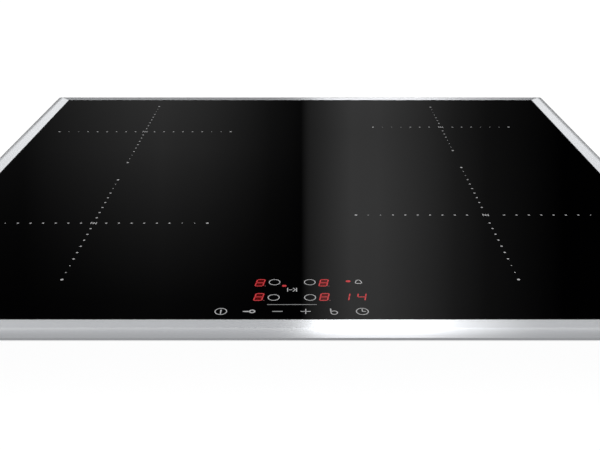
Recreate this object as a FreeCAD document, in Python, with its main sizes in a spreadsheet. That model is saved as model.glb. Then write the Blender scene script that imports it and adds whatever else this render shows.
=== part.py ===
import FreeCAD, Part
import os
import re

import Sketcher

# A built-in induction hob, in millimetres. +Z is up, the cook stands at -Y, and the origin is at
# the middle of the tray's underside, so the glass's face is at overall_height.
# Every driving size is a cell of the sheet, and every piece is bound to those cells.
SIZES = {
    # the hob as a whole
    "overall_width": (583, "outer edge to outer edge of the side trims"),
    "overall_depth": (513, "outer edge of the front trim to that of the rear trim"),
    "overall_height": (51, "tray underside to glass face"),
    # glass, trims and seals
    "glass_thickness": (4, "glass ceramic plate"),
    "glass_bevel": (0.4, "ground bevel round the glass"),
    "trim_width": (17, "glass edge to the trim's outer edge"),
    "trim_flat": (9.5, "level part of the trim, from the glass edge"),
    "trim_drop": (2.5, "how far the rounded edge falls below the glass face"),
    "trim_edge": (4.4, "glass face to the trim's outer lower edge"),
    "trim_sheet": (1, "steel of the trim"),
    "ledge_width": (4, "ledge of the trim under the glass"),
    "seal_gap": (0.4, "silicone joint between glass and trim"),
    "bed_height": (0.4, "silicone bed under the glass"),
    "gasket_width": (7, "foam tape under the trim"),
    "gasket_inset": (3.5, "trim's outer edge to the foam tape"),
    "gasket_proud": (0.3, "foam tape below the trim's edge"),
    # base tray
    "tray_sheet": (0.8, "galvanised sheet of the tray"),
    "tray_overhang": (2.5, "tray wall outside the glass edge"),
    "tray_flange": (6.5, "flange turned in under the trim ledges"),
    "front_depth": (8.8, "depth of the shallow front bay"),
    "front_length": (52, "length of the shallow front bay"),
    "slope_run": (14, "length of the slope behind the front bay"),
    "rear_bevel": (8, "bevel along the tray's lower rear edge"),
    "vent_width": (3, "width of a vent slot"),
    "vent_length": (20, "length of a vent slot"),
    "vent_pitch": (8, "vent slot to vent slot"),
    "vent_floor": (12, "tray underside to the rear vents"),
    "vent_count": (12, "slots in each rear vent"),
    "grille_slots": (16, "slots under each blower"),
    # cooking zones
    "left_inset": (111.5, "left glass edge to the left zones' centres"),
    "right_inset": (124, "right glass edge to the right zones' centres"),
    "front_left_inset": (140, "front glass edge to the zone's centre"),
    "rear_left_inset": (115.9, "rear glass edge to the zone's centre"),
    "front_right_inset": (155.2, "front glass edge to the zone's centre"),
    "rear_right_inset": (100.7, "rear glass edge to the zone's centre"),
    "front_left_zone": (180, "zone diameter"),
    "rear_left_zone": (180, "zone diameter"),
    "front_right_zone": (210, "zone diameter"),
    "rear_right_zone": (145, "zone diameter"),
    # coil units
    "mica_sheet": (0.6, "insulating disc under the glass"),
    "coil_gap": (0.2, "winding below the insulating disc"),
    "winding_height": (4.2, "litz winding"),
    "winding_inset": (5, "zone edge to the winding's edge"),
    "winding_eye": (18, "inner radius of the winding"),
    "carrier_inset": (2, "zone edge to the carrier's edge"),
    "eye_wall": (2, "carrier's wall inside the winding"),
    "eye_gap": (1, "that wall to the winding"),
    "eye_drop": (0.4, "that wall below the winding's top"),
    "ferrite_start": (3, "winding's inner edge to the ferrite bars"),
    "ferrite_end": (2, "ferrite bars to the winding's outer edge"),
    "mica_inset": (1, "zone edge to the insulating disc's edge"),
    "sensor_rim": (4, "sensor's flange beyond its stem"),
    "carrier_height": (2.5, "coil carrier"),
    "ferrite_height": (3.5, "ferrite bars under the carrier"),
    "ferrite_width": (12, "ferrite bar"),
    "ferrite_count": (8, "bars per coil"),
    "sensor_radius": (5, "temperature sensor"),
    "sensor_clearance": (0.5, "round the sensor"),
    "sensor_flange": (1, "flange the sensor stands on"),
    "spring_height": (7, "room between support plate and carrier"),
    "spring_radius": (5.4, "outer radius of a coil-unit spring"),
    "spring_wire": (0.8, "spring wire"),
    "spring_circle": (52, "springs' distance from the zone's centre"),
    "plate_sheet": (1.5, "aluminium support plate"),
    "plate_edge_gap": (3, "support plate to tray"),
    "plate_middle_gap": (9, "zone edge to the plate's inner edge"),
    "post_radius": (4, "support post"),
    "post_inset": (20, "plate edge to post"),
    # electronics
    "board_sheet": (1.6, "printed boards"),
    "standoff_height": (6, "boards above the tray"),
    "standoff_radius": (3, "board standoff"),
    "board_width": (150, "power board, across"),
    "board_length": (200, "power board, front to rear"),
    "board_rear": (60, "power board's rear edge behind the tray's middle"),
    "board_hole_inset": (6, "board edge to standoff"),
    "sink_width": (48, "heat sink"),
    "sink_length": (96, "heat sink"),
    "sink_height": (20, "heat sink"),
    "sink_base": (3, "heat sink base"),
    "fin_sheet": (1.5, "heat sink fin"),
    "fin_count": (9, "fins on a heat sink"),
    "filter_width": (84, "filter board"),
    "filter_length": (90, "filter board"),
    "filter_gap": (20, "filter board to terminal housing"),
    "board_hole": (1.6, "radius of a board's corner holes"),
    "sink_inset": (14, "power board's rear edge to the heat sink"),
    "film_cap_inset": (12, "power board's left edge to the film capacitors"),
    "film_cap_rear": (30, "power board's rear edge to the first film capacitor"),
    "film_cap_width": (18, "film capacitor"),
    "film_cap_length": (32, "film capacitor"),
    "film_cap_pitch": (44, "film capacitor to film capacitor"),
    "film_cap_height": (18, "film capacitor"),
    "transistor_gap": (0.4, "heat sink to the transistors"),
    "transistor_rear": (28, "power board's rear edge to the first transistor"),
    "transistor_depth": (4.6, "transistor, away from the heat sink"),
    "transistor_width": (16, "transistor, along the heat sink"),
    "transistor_pitch": (26, "transistor to transistor"),
    "transistor_height": (17, "transistor"),
    "can_cap_inset": (24, "power board's right edge to the can capacitors' middles"),
    "can_cap_rear": (40, "power board's rear edge to the first can capacitor's middle"),
    "can_cap_radius": (9, "can capacitor"),
    "can_cap_pitch": (34, "can capacitor to can capacitor"),
    "can_cap_height": (19, "can capacitor"),
    "relay_start": (36, "power board's middle to the left relay's left side"),
    "relay_inset": (22, "power board's front edge to the relays"),
    "relay_width": (28, "relay"),
    "relay_length": (12, "relay"),
    "relay_pitch": (46, "relay to relay"),
    "relay_height": (15, "relay"),
    "choke_radius": (11, "ring choke, to the middle of its ring"),
    "choke_ring": (4.5, "ring choke, radius of the ring's section"),
    "choke_spread": (18, "filter board's middle to a choke's middle"),
    "choke_rear": (28, "filter board's rear edge to the chokes' middles"),
    "filter_cap_width": (40, "filter capacitor"),
    "filter_cap_rear": (50, "filter board's rear edge to the filter capacitor"),
    # blowers
    "fan_frame": (84, "blower housing, square"),
    "fan_height": (20, "blower housing"),
    "fan_wall": (1.6, "blower housing wall"),
    "fan_inlet": (30, "inlet radius"),
    "fan_gap": (8, "power board to blower"),
    "rotor_radius": (34, "blower wheel"),
    "rotor_clearance": (2.5, "wheel to housing"),
    "rotor_height": (11, "blower wheel"),
    "blade_length": (8, "blade, along the radius"),
    "blade_sheet": (1, "blade"),
    "blade_count": (24, "blades"),
    "hub_radius": (9, "wheel hub"),
    "shaft_radius": (1.5, "blower shaft"),
    "shaft_clearance": (0.05, "hub bore over shaft"),
    # touch control
    "panel_offset": (-4.9, "middle of the touch control, from the hob's middle"),
    "panel_width": (150, "touch board"),
    "panel_length": (50, "touch board, front to rear"),
    "panel_wall": (1.4, "wall and floor of the touch board's carrier"),
    "panel_gap": (0.1, "trim ledge to the carrier"),
    "panel_clearance": (0.6, "carrier wall to touch board"),
    "key_radius": (3, "conductive key pad"),
    "key_pitch": (18.08, "key to key in the front row"),
    "key_row": (9.2, "front glass edge to the front row of keys"),
    "zone_row_front": (26.4, "front glass edge to the front displays"),
    "zone_row_rear": (46.5, "front glass edge to the rear displays"),
    "zone_key_spread": (12, "panel middle to a zone key"),
    "display_spread": (21.6, "panel middle to a zone display"),
    "timer_spread": (38, "panel middle to the timer's first digit"),
    "timer_pitch": (8, "digit to digit of the timer"),
    "display_width": (7.6, "display block"),
    "display_length": (14, "display block"),
    "display_gap": (0.6, "display block below the glass"),
    # mains terminal at the rear
    "terminal_offset": (-14, "middle of the terminal, from the hob's middle"),
    "terminal_width": (96, "terminal housing"),
    "terminal_depth": (44, "terminal housing, front to rear"),
    "terminal_floor": (5, "tray underside to housing"),
    "terminal_height": (30, "terminal housing"),
    "terminal_wall": (1.6, "terminal housing wall"),
    "terminal_poles": (5, "poles"),
    "pole_pitch": (12, "pole to pole"),
    "pole_radius": (3, "socket of a pole"),
    "pole_rise": (10, "housing's underside to a pole's middle"),
    "pole_end": (4, "wall left behind a pole's socket"),
    "block_depth": (14, "terminal block"),
    "block_drop": (12, "terminal housing's top to the block's top"),
    "grip_width": (18, "finger grip of the cover"),
    "cover_sheet": (2, "terminal cover"),
    "cover_gap": (0.3, "tray to cover"),
    "cover_margin": (2, "cover beyond the housing's mouth"),
    "cover_grip": (1.6, "finger grip along the cover's lower edge"),
    "pin_radius": (1, "hinge pin of the cover"),
    "pin_clearance": (0.06, "cover barrel over pin"),
    "barrel_radius": (2.2, "hinge barrel"),
    "ear_width": (6, "hinge ear"),
    "ear_gap": (0.4, "ear to barrel"),
    "entry_radius": (7, "bore of the cable bush"),
    "entry_wall": (2, "wall of the cable bush"),
    "entry_length": (12, "cable bush"),
    "entry_gap": (14, "terminal housing to the bush's middle"),
    "entry_flange": (1.5, "flanges of the cable bush"),
    # fixing clamps
    "clamp_inset": (78, "tray end to the clamp's pivot"),
    "niche_depth": (16, "clamp niche in the tray's side wall"),
    "niche_height": (26, "clamp niche"),
    "niche_long": (36, "niche beyond the pivot, under the arm"),
    "niche_short": (9, "niche beyond the pivot, other end"),
    "clamp_floor": (6, "tray underside to the clamp"),
    "clamp_sheet": (2, "clamp"),
    "clamp_width": (12, "clamp"),
    "clamp_length": (30, "pivot to the clamp's tip"),
    "clamp_tip": (3, "upturned tip of the clamp"),
    "clamp_clearance": (0.06, "clamp bore over screw"),
    "clamp_rest": (0.05, "screw head to clamp"),
    "clamp_screw": (2, "clamp screw radius"),
    "screw_head": (3, "head height of the screws"),
    "nut_height": (3, "clamp nut"),
    # other fasteners and wiring
    "case_screw": (1.25, "radius of the screws through flange and ledge"),
    "case_head": (2.5, "head radius of those screws"),
    "case_head_height": (1.6, "their heads"),
    "case_screw_inset": (60, "glass corner to the first of those screws"),
    "lead_radius": (1.6, "insulated lead"),
}

GLASS_X = "(overall_width / 2 - trim_width)"
GLASS_Y = "(overall_depth / 2 - trim_width)"
GLASS_BOTTOM = "(overall_height - glass_thickness)"
LEDGE_TOP = f"({GLASS_BOTTOM} - bed_height)"
LEDGE_BOTTOM = f"({LEDGE_TOP} - trim_sheet)"
GASKET_BOTTOM = "(overall_height - trim_edge - gasket_proud)"
TRAY_X = f"({GLASS_X} + tray_overhang)"
TRAY_Y = f"({GLASS_Y} + tray_overhang)"
FLANGE_BOTTOM = f"({LEDGE_BOTTOM} - tray_sheet)"
FRONT_FLOOR = f"({LEDGE_BOTTOM} - front_depth)"
DEEP_FRONT = f"(-{TRAY_Y} + front_length + slope_run)"
MICA_BOTTOM = f"({GLASS_BOTTOM} - mica_sheet)"
WINDING_TOP = f"({MICA_BOTTOM} - coil_gap)"
CARRIER_TOP = f"({WINDING_TOP} - winding_height)"
CARRIER_BOTTOM = f"({CARRIER_TOP} - carrier_height)"
PLATE_TOP = f"({CARRIER_BOTTOM} - spring_height)"
PLATE_BOTTOM = f"({PLATE_TOP} - plate_sheet)"
BOARD_BOTTOM = "(tray_sheet + standoff_height)"
BOARD_TOP = f"({BOARD_BOTTOM} + board_sheet)"
LEFT_X = f"(-{GLASS_X} + left_inset)"
RIGHT_X = f"({GLASS_X} - right_inset)"
PANEL_FLOOR = f"({FRONT_FLOOR} + tray_sheet)"
PANEL_TOP = f"({PANEL_FLOOR} + panel_wall + board_sheet)"
TERMINAL_BACK = f"({TRAY_Y} - tray_sheet)"
# the springs' directions from the zone's centre, in degrees
SPRING_TURNS = (22.5, 157.5, 247.5)
CLAMP_X = f"({TRAY_X} - niche_depth / 2)"
CLAMP_Y = f"({TRAY_Y} - clamp_inset)"

# each zone: its centre and its diameter
ZONES = {
    "front_left": (LEFT_X, f"(-{GLASS_Y} + front_left_inset)", "front_left_zone"),
    "rear_left": (LEFT_X, f"({GLASS_Y} - rear_left_inset)", "rear_left_zone"),
    "front_right": (RIGHT_X, f"(-{GLASS_Y} + front_right_inset)", "front_right_zone"),
    "rear_right": (RIGHT_X, f"({GLASS_Y} - rear_right_inset)", "rear_right_zone"),
}
SIDES = {"left": (-1, LEFT_X), "right": (1, RIGHT_X)}
# each clamp: the side it is on, and the way its parked arm points
CLAMPS = {
    "front_left": (-1, -1),
    "front_right": (1, -1),
    "rear_left": (-1, 1),
    "rear_right": (1, 1),
}

doc = FreeCAD.newDocument("InductionHob")
sheet = doc.addObject("Spreadsheet::Sheet", "Sizes")
pieces = []


def fill_sheet():
    """One row per size: its name, its value and what it is."""
    for row, (alias, (number, note)) in enumerate(SIZES.items(), start=1):
        sheet.set(f"A{row}", alias)
        sheet.set(f"B{row}", str(number))
        sheet.setAlias(f"B{row}", alias)
        sheet.set(f"C{row}", note)
    doc.recompute()


def linked(text):
    """An expression in which each size's name refers to its cell."""
    return re.sub(r"[a-z_]{2,}", lambda m: "Sizes." * (m.group() in SIZES) + m.group(), text)


def value(text):
    return float(sheet.evalExpression(linked(text)))


def bind(thing, prop, text):
    thing.setExpression(prop, linked(text))


def place(thing, x="0", y="0", z="0"):
    for axis, text in zip("xyz", (x, y, z)):
        bind(thing, f"Placement.Base.{axis}", text)


def piece(thing, label):
    """Marks a document object as a finished sub-part."""
    thing.Label = label
    pieces.append(thing)
    return thing


# ---- PartDesign helpers -------------------------------------------------------------------


def new_sketch(body, name, plane="XY_Plane", offset=("0", "0", "0")):
    sketch = body.newObject("Sketcher::SketchObject", name)
    support = next(f for f in body.Origin.OriginFeatures if f.Role == plane)
    sketch.AttachmentSupport = [(support, "")]
    sketch.MapMode = "FlatFace"
    for axis, text in zip("xyz", offset):
        bind(sketch, f"AttachmentOffset.Base.{axis}", text)
    return sketch


def hold(sketch, kind, geometry, vertex, text):
    """Holds one coordinate of a sketch point at the value of an expression."""
    number = value(text)
    index = sketch.addConstraint(Sketcher.Constraint(kind, -1, 1, geometry, vertex, number))
    sketch.setExpression(f"Constraints[{index}]", linked(text))


def add_polygon(sketch, points, arc_at=None):
    """A closed outline. From corner arc_at it runs on as an arc that leaves that corner level."""
    corners = [FreeCAD.Vector(value(x), value(y), 0) for x, y in points]
    first = sketch.GeometryCount
    ends = []
    for i, start in enumerate(corners):
        stop = corners[(i + 1) % len(corners)]
        if i == arc_at:
            across, down = stop.x - start.x, start.y - stop.y
            radius = (across**2 + down**2) / (2 * down)
            circle = Part.Circle(start - FreeCAD.Vector(0, radius, 0), FreeCAD.Vector(0, 0, 1), radius)
            sketch.addGeometry(Part.ArcOfCircle(circle, circle.parameter(stop), circle.parameter(start)))
            ends.append((2, 1))
            hold(sketch, "DistanceX", first + i, 3, points[i][0])
        else:
            sketch.addGeometry(Part.LineSegment(start, stop))
            ends.append((1, 2))
    for i, (x, y) in enumerate(points):
        before = (i - 1) % len(points)
        pair = (first + before, ends[before][1], first + i, ends[i][0])
        sketch.addConstraint(Sketcher.Constraint("Coincident", *pair))
        hold(sketch, "DistanceX", first + i, ends[i][0], x)
        hold(sketch, "DistanceY", first + i, ends[i][0], y)


def add_rectangle(sketch, x0, x1, y0, y1):
    add_polygon(sketch, [(x0, y0), (x1, y0), (x1, y1), (x0, y1)])


def add_circle(sketch, x, y, radius):
    centre = FreeCAD.Vector(value(x), value(y), 0)
    index = sketch.addGeometry(Part.Circle(centre, FreeCAD.Vector(0, 0, 1), value(radius)))
    held = sketch.addConstraint(Sketcher.Constraint("Radius", index, value(radius)))
    sketch.setExpression(f"Constraints[{held}]", linked(radius))
    hold(sketch, "DistanceX", index, 3, x)
    hold(sketch, "DistanceY", index, 3, y)


def extrude(body, sketch, length, cut=False, both_ways=False):
    """A pad along the sketch's normal, or a pocket against it."""
    feature = body.newObject("PartDesign::Pocket" if cut else "PartDesign::Pad", sketch.Name + "_run")
    feature.Profile = sketch
    feature.SideType = "Symmetric" if both_ways else "One side"
    bind(feature, "Length", length)
    sketch.Visibility = False
    return feature


def ring_of(body, feature, sketch, count):
    """Repeats a feature round the sketch's own origin."""
    pattern = body.newObject("PartDesign::PolarPattern", feature.Name + "_ring")
    pattern.Originals = [feature]
    pattern.Axis = (sketch, ["N_Axis"])
    pattern.Angle = 360
    bind(pattern, "Occurrences", count)
    body.Tip = pattern
    return pattern


def row_of(body, feature, sketch, span, count):
    """Repeats a feature along the sketch's level axis, over the span."""
    pattern = body.newObject("PartDesign::LinearPattern", feature.Name + "_row")
    pattern.Originals = [feature]
    pattern.Direction = (sketch, ["H_Axis"])
    bind(pattern, "Length", span)
    bind(pattern, "Occurrences", count)
    body.Tip = pattern
    return pattern


def new_body(label):
    return piece(doc.addObject("PartDesign::Body", label), label)


# ---- Part helpers -------------------------------------------------------------------------


def box(name, x0, x1, y0, y1, z0, z1):
    thing = doc.addObject("Part::Box", name)
    bind(thing, "Length", f"{x1} - ({x0})")
    bind(thing, "Width", f"{y1} - ({y0})")
    bind(thing, "Height", f"{z1} - ({z0})")
    place(thing, x0, y0, z0)
    return thing


def cylinder(name, x, y, z0, z1, radius):
    thing = doc.addObject("Part::Cylinder", name)
    bind(thing, "Radius", radius)
    bind(thing, "Height", f"{z1} - ({z0})")
    place(thing, x, y, z0)
    return thing


def cylinder_along(name, direction, start, length, radius):
    """A cylinder lying along the X or the Y axis."""
    thing = doc.addObject("Part::Cylinder", name)
    bind(thing, "Radius", radius)
    bind(thing, "Height", length)
    thing.Placement = FreeCAD.Placement(
        FreeCAD.Vector(), FreeCAD.Rotation(FreeCAD.Vector(0, 0, 1), direction)
    )
    place(thing, *start)
    return thing


def fuse(name, things):
    thing = doc.addObject("Part::MultiFuse", name)
    thing.Shapes = things
    return thing


def cut(name, base, tool):
    thing = doc.addObject("Part::Cut", name)
    thing.Base = base
    thing.Tool = tool
    return thing


def hexagon(name, x, y, z0, z1, across_flats):
    thing = doc.addObject("Part::Prism", name)
    thing.Polygon = 6
    bind(thing, "Circumradius", f"{across_flats} / sqrt(3)")
    bind(thing, "Height", f"{z1} - ({z0})")
    place(thing, x, y, z0)
    return thing


# ---- glass, trims and seals ---------------------------------------------------------------


def glass_top():
    body = new_body("glass_ceramic_top")
    outline = new_sketch(body, "GlassOutline", offset=("0", "0", GLASS_BOTTOM))
    add_rectangle(outline, f"-{GLASS_X}", GLASS_X, f"-{GLASS_Y}", GLASS_Y)
    plate = extrude(body, outline, "glass_thickness")
    doc.recompute()
    top = value("overall_height")
    level = [f"Edge{i + 1}" for i, edge in enumerate(plate.Shape.Edges) if edge.BoundBox.ZMin > top - 0.01]
    bevel = body.newObject("PartDesign::Chamfer", "GlassBevel")
    bevel.Base = (plate, level)
    bind(bevel, "Size", "glass_bevel")


def trim(label, run, reach, turn):
    """A rolled steel strip: level beside the glass, rounded down at its outer edge, with a leg
    beside the glass and a ledge under it. Its ends are mitred."""
    body = new_body(label)
    section = new_sketch(body, label + "_section", "YZ_Plane")
    corners = [
        ("seal_gap", "0"),
        ("trim_flat", "0"),
        ("trim_width", "trim_drop"),
        ("trim_width", "trim_edge"),
        ("trim_width - trim_sheet", "trim_edge"),
        ("trim_width - trim_sheet", "trim_drop + trim_sheet / 2"),
        ("trim_flat", "trim_sheet"),
        ("seal_gap + trim_sheet", "trim_sheet"),
        ("seal_gap + trim_sheet", "glass_thickness + bed_height + trim_sheet"),
        ("-ledge_width", "glass_thickness + bed_height + trim_sheet"),
        ("-ledge_width", "glass_thickness + bed_height"),
        ("seal_gap", "glass_thickness + bed_height"),
    ]
    points = [(f"{reach} + {out}", f"overall_height - ({down})") for out, down in corners]
    add_polygon(section, points, arc_at=1)
    extrude(body, section, run, both_ways=True)
    mitres = new_sketch(body, label + "_mitres")
    end, outer = f"{run} / 2", f"({reach} + trim_width)"
    waste = "(trim_width + ledge_width + 1)"
    for side in ("", "-"):
        far, near = f"{side}({end} + 1)", f"{side}({end} - {waste})"
        inner = f"{outer} - {waste}"
        add_polygon(mitres, [(far, f"{outer} + 1"), (near, inner), (far, inner)])
    extrude(body, mitres, "3 * overall_height", cut=True, both_ways=True)
    body.Placement.Rotation = FreeCAD.Rotation(FreeCAD.Vector(0, 0, 1), turn)


def rim_frame(label, outer_x, outer_y, width, z0, z1):
    """A flat rectangular frame."""
    block = box(label + "_block", f"-{outer_x}", outer_x, f"-{outer_y}", outer_y, z0, z1)
    inner_x, inner_y = f"({outer_x} - {width})", f"({outer_y} - {width})"
    hole = box(label + "_hole", f"-{inner_x}", inner_x, f"-{inner_y}", inner_y, f"{z0} - 1", f"{z1} + 1")
    return cut(label + "_ring", block, hole)


def glass_seal():
    """The silicone joint round the glass and the bed of the same silicone under its edge."""
    bed = rim_frame("bed", f"({GLASS_X} + seal_gap)", f"({GLASS_Y} + seal_gap)",
                    "(seal_gap + ledge_width - 1)", LEDGE_TOP, GLASS_BOTTOM)
    joint = rim_frame("joint", f"({GLASS_X} + seal_gap)", f"({GLASS_Y} + seal_gap)",
                      "seal_gap", GLASS_BOTTOM, "(overall_height - glass_bevel)")
    piece(fuse("SealFuse", [bed, joint]), "glass_seal")


def worktop_gasket():
    """Foam tape under the trims. Its outer edge touches the slope of the trim's underside."""
    fall = "(trim_drop - trim_sheet / 2) / (trim_width - trim_sheet - trim_flat)"
    top = f"(overall_height - trim_sheet - (trim_width - gasket_inset - trim_flat) * {fall})"
    gasket = rim_frame("gasket", "(overall_width / 2 - gasket_inset)", "(overall_depth / 2 - gasket_inset)",
                       "gasket_width", GASKET_BOTTOM, top)
    piece(gasket, "worktop_gasket")


# ---- base tray ----------------------------------------------------------------------------


def tray_outline(inset):
    """The tray's side outline, or the same moved in by one sheet."""
    step = f"({FRONT_FLOOR})"
    slope = f"{inset} * (sqrt({step}^2 + slope_run^2) - slope_run) / {step}"
    bevel = f"{inset} * (sqrt(2) - 1)"
    top = FLANGE_BOTTOM if inset != "0" else LEDGE_BOTTOM
    return [
        (f"-{TRAY_Y} + {inset}", f"{FRONT_FLOOR} + {inset}"),
        (f"-{TRAY_Y} + front_length + {slope}", f"{FRONT_FLOOR} + {inset}"),
        (f"{DEEP_FRONT} + {slope}", inset),
        (f"{TRAY_Y} - rear_bevel - {bevel}", inset),
        (f"{TRAY_Y} - {inset}", f"rear_bevel + {bevel}"),
        (f"{TRAY_Y} - {inset}", top),
        (f"-{TRAY_Y} + {inset}", top),
    ]


def niche_corners(side, end, margin):
    """One clamp niche seen from above, or the same grown by a margin."""
    inner, outer = f"{side} * ({TRAY_X} - niche_depth - {margin})", f"{side} * {TRAY_X}"
    if margin == "0":
        outer = f"{side} * ({TRAY_X} + 1)"
    near = f"{end} * ({CLAMP_Y} + niche_short + {margin})"
    far = f"{end} * ({CLAMP_Y} - niche_long - {margin})"
    return inner, outer, near, far


def base_tray():
    body = new_body("base_tray")
    outer = new_sketch(body, "TrayOuter", "YZ_Plane")
    add_polygon(outer, tray_outline("0"))
    extrude(body, outer, f"2 * {TRAY_X}", both_ways=True)
    inner = new_sketch(body, "TrayInner", "YZ_Plane")
    add_polygon(inner, tray_outline("tray_sheet"))
    extrude(body, inner, f"2 * ({TRAY_X} - tray_sheet)", cut=True, both_ways=True)
    mouth = new_sketch(body, "TrayMouth", offset=("0", "0", f"{LEDGE_BOTTOM} + 1"))
    mouth_x, mouth_y = f"({TRAY_X} - tray_flange)", f"({TRAY_Y} - tray_flange)"
    add_rectangle(mouth, f"-{mouth_x}", mouth_x, f"-{mouth_y}", mouth_y)
    extrude(body, mouth, "tray_sheet + 2", cut=True)
    niche_shells = new_sketch(body, "NicheShells")
    niches = new_sketch(body, "Niches", offset=("0", "0", "niche_height"))
    screw_holes = new_sketch(body, "ClampHoles", offset=("0", "0", "niche_height + tray_sheet + 1"))
    hole_radius = "clamp_screw + clamp_clearance"
    for side, end in CLAMPS.values():
        add_rectangle(niche_shells, *niche_corners(side, end, "tray_sheet"))
        add_rectangle(niches, *niche_corners(side, end, "0"))
        add_circle(screw_holes, f"{side} * {CLAMP_X}", f"{end} * {CLAMP_Y}", hole_radius)
    extrude(body, niche_shells, "niche_height + tray_sheet")
    extrude(body, niches, "niche_height + 1", cut=True)
    extrude(body, screw_holes, "tray_sheet + 2", cut=True)
    tray_vents(body)
    tray_terminal_mouth(body)
    case_holes = new_sketch(body, "CaseScrewHoles", offset=("0", "0", f"{LEDGE_BOTTOM} + 1"))
    for x, y in case_screw_places():
        add_circle(case_holes, x, y, "case_screw")
    extrude(body, case_holes, "tray_sheet + 2", cut=True)


def tray_vents(body):
    """Slots in the rear wall and under each blower."""
    span = "(vent_count - 1) * vent_pitch"
    for side, column in SIDES.values():
        rear = new_sketch(body, f"RearVent{side + 1}", "XZ_Plane", ("0", "0", f"-{TRAY_Y} - 1"))
        start = f"{column} - {span} / 2"
        add_rectangle(rear, start, f"{start} + vent_width", "vent_floor", "vent_floor + vent_length")
        slot = extrude(body, rear, "tray_sheet + 2", cut=True)
        slot.Reversed = True
        row_of(body, slot, rear, span, "vent_count")
        grille = new_sketch(body, f"Grille{side + 1}", offset=(column, FAN_Y, "tray_sheet + 1"))
        add_rectangle(grille, "fan_inlet * 0.3", "fan_inlet - 2", "-vent_width / 2", "vent_width / 2")
        opening = extrude(body, grille, "tray_sheet + 2", cut=True)
        ring_of(body, opening, grille, "grille_slots")


def tray_terminal_mouth(body):
    """The opening behind the terminal cover and the round hole for the cable bush."""
    mouth = new_sketch(body, "TerminalMouth", "XZ_Plane", ("0", "0", f"-{TRAY_Y} - 1"))
    x0, x1, z0, z1 = terminal_mouth()
    add_rectangle(mouth, x0, x1, z0, z1)
    add_circle(mouth, ENTRY_X, ENTRY_Z, "entry_radius + entry_wall")
    opening = extrude(body, mouth, "tray_sheet + 2", cut=True)
    opening.Reversed = True


def case_screw_places():
    """Where the screws pass through tray flange and trim ledge."""
    middle = "(ledge_width - seal_gap - trim_sheet) / 2"
    x, y = f"({GLASS_X} - {middle})", f"({GLASS_Y} - {middle})"
    along_x, along_y = f"({GLASS_X} - case_screw_inset)", f"({GLASS_Y} - case_screw_inset)"
    places = []
    for side in ("", "-"):
        for end in ("", "-"):
            places += [(f"{side}{x}", f"{end}{along_y}"), (f"{side}{along_x}", f"{end}{y}")]
    return places


# ---- coil units ---------------------------------------------------------------------------


def ring_piece(label, name, outer, inner, height, x, y, z):
    """A flat ring, made from its own axis outwards."""
    body = new_body(label)
    outline = new_sketch(body, name + "_outline")
    add_circle(outline, "0", "0", outer)
    add_circle(outline, "0", "0", inner)
    extrude(body, outline, height)
    place(body, x, y, z)
    return body


def coil_unit(zone, x, y, diameter):
    """Winding, carrier, ferrite bars and springs of one zone."""
    radius = f"({diameter} / 2 - winding_inset)"
    eye = "(sensor_radius + sensor_clearance)"
    ring_piece(f"winding_{zone}", f"Winding_{zone}", radius, "winding_eye", "winding_height",
               x, y, CARRIER_TOP)
    carrier = ring_piece(f"coil_carrier_{zone}", f"Carrier_{zone}", f"{diameter} / 2 - carrier_inset", eye,
                         "carrier_height", x, y, CARRIER_BOTTOM)
    wall = new_sketch(carrier, f"CarrierWall_{zone}", offset=("0", "0", "carrier_height"))
    add_circle(wall, "0", "0", "winding_eye - eye_gap")
    add_circle(wall, "0", "0", "winding_eye - eye_gap - eye_wall")
    extrude(carrier, wall, "winding_height - eye_drop")
    bars = new_body(f"ferrite_bars_{zone}")
    bar = new_sketch(bars, f"Bar_{zone}")
    add_rectangle(bar, "winding_eye + ferrite_start", f"{radius} - ferrite_end",
                  "-ferrite_width / 2", "ferrite_width / 2")
    bars.AllowCompound = True
    first = extrude(bars, bar, "ferrite_height")
    ring_of(bars, first, bar, "ferrite_count")
    place(bars, x, y, f"{CARRIER_BOTTOM} - ferrite_height")
    coil_springs(zone, x, y)


def mica_and_sensors():
    """Insulating discs glued under the glass, and the sensors that stand on the support plates
    and reach up to the glass through the coils' eyes."""
    discs, sensors = [], []
    for zone, (x, y, diameter) in ZONES.items():
        disc = cylinder(f"Mica_{zone}", x, y, MICA_BOTTOM, GLASS_BOTTOM, f"{diameter} / 2 - mica_inset")
        eye = cylinder(f"MicaEye_{zone}", x, y, f"{MICA_BOTTOM} - 1", f"{GLASS_BOTTOM} + 1",
                       "sensor_radius + sensor_clearance")
        discs.append(cut(f"MicaDisc_{zone}", disc, eye))
        stem = cylinder(f"Stem_{zone}", x, y, PLATE_TOP, GLASS_BOTTOM, "sensor_radius")
        flange = cylinder(f"SensorFlange_{zone}", x, y, PLATE_TOP, f"{PLATE_TOP} + sensor_flange",
                          "sensor_radius + sensor_rim")
        sensors.append(fuse(f"Sensor_{zone}", [stem, flange]))
    piece(fuse("MicaDiscs", discs), "mica_discs")
    piece(fuse("Sensors", sensors), "zone_sensors")


def coil_springs(zone, x, y):
    """Three springs that stand on the support plate, between the ferrite bars, and press the unit
    to the glass. Each is a sleeve of the spring's outer size."""
    springs = []
    for number, turn in enumerate(SPRING_TURNS):
        spot = (f"spring_circle * cos({turn})", f"spring_circle * sin({turn})")
        outer = cylinder(f"SpringOuter_{zone}_{number}", *spot, "0", "spring_height", "spring_radius")
        inner = cylinder(f"SpringInner_{zone}_{number}", *spot, "-1", "spring_height + 1",
                         "spring_radius - spring_wire")
        springs.append(cut(f"Spring_{zone}_{number}", outer, inner))
    place(piece(fuse(f"Springs_{zone}", springs), f"coil_springs_{zone}"), x, y, PLATE_TOP)


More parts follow.
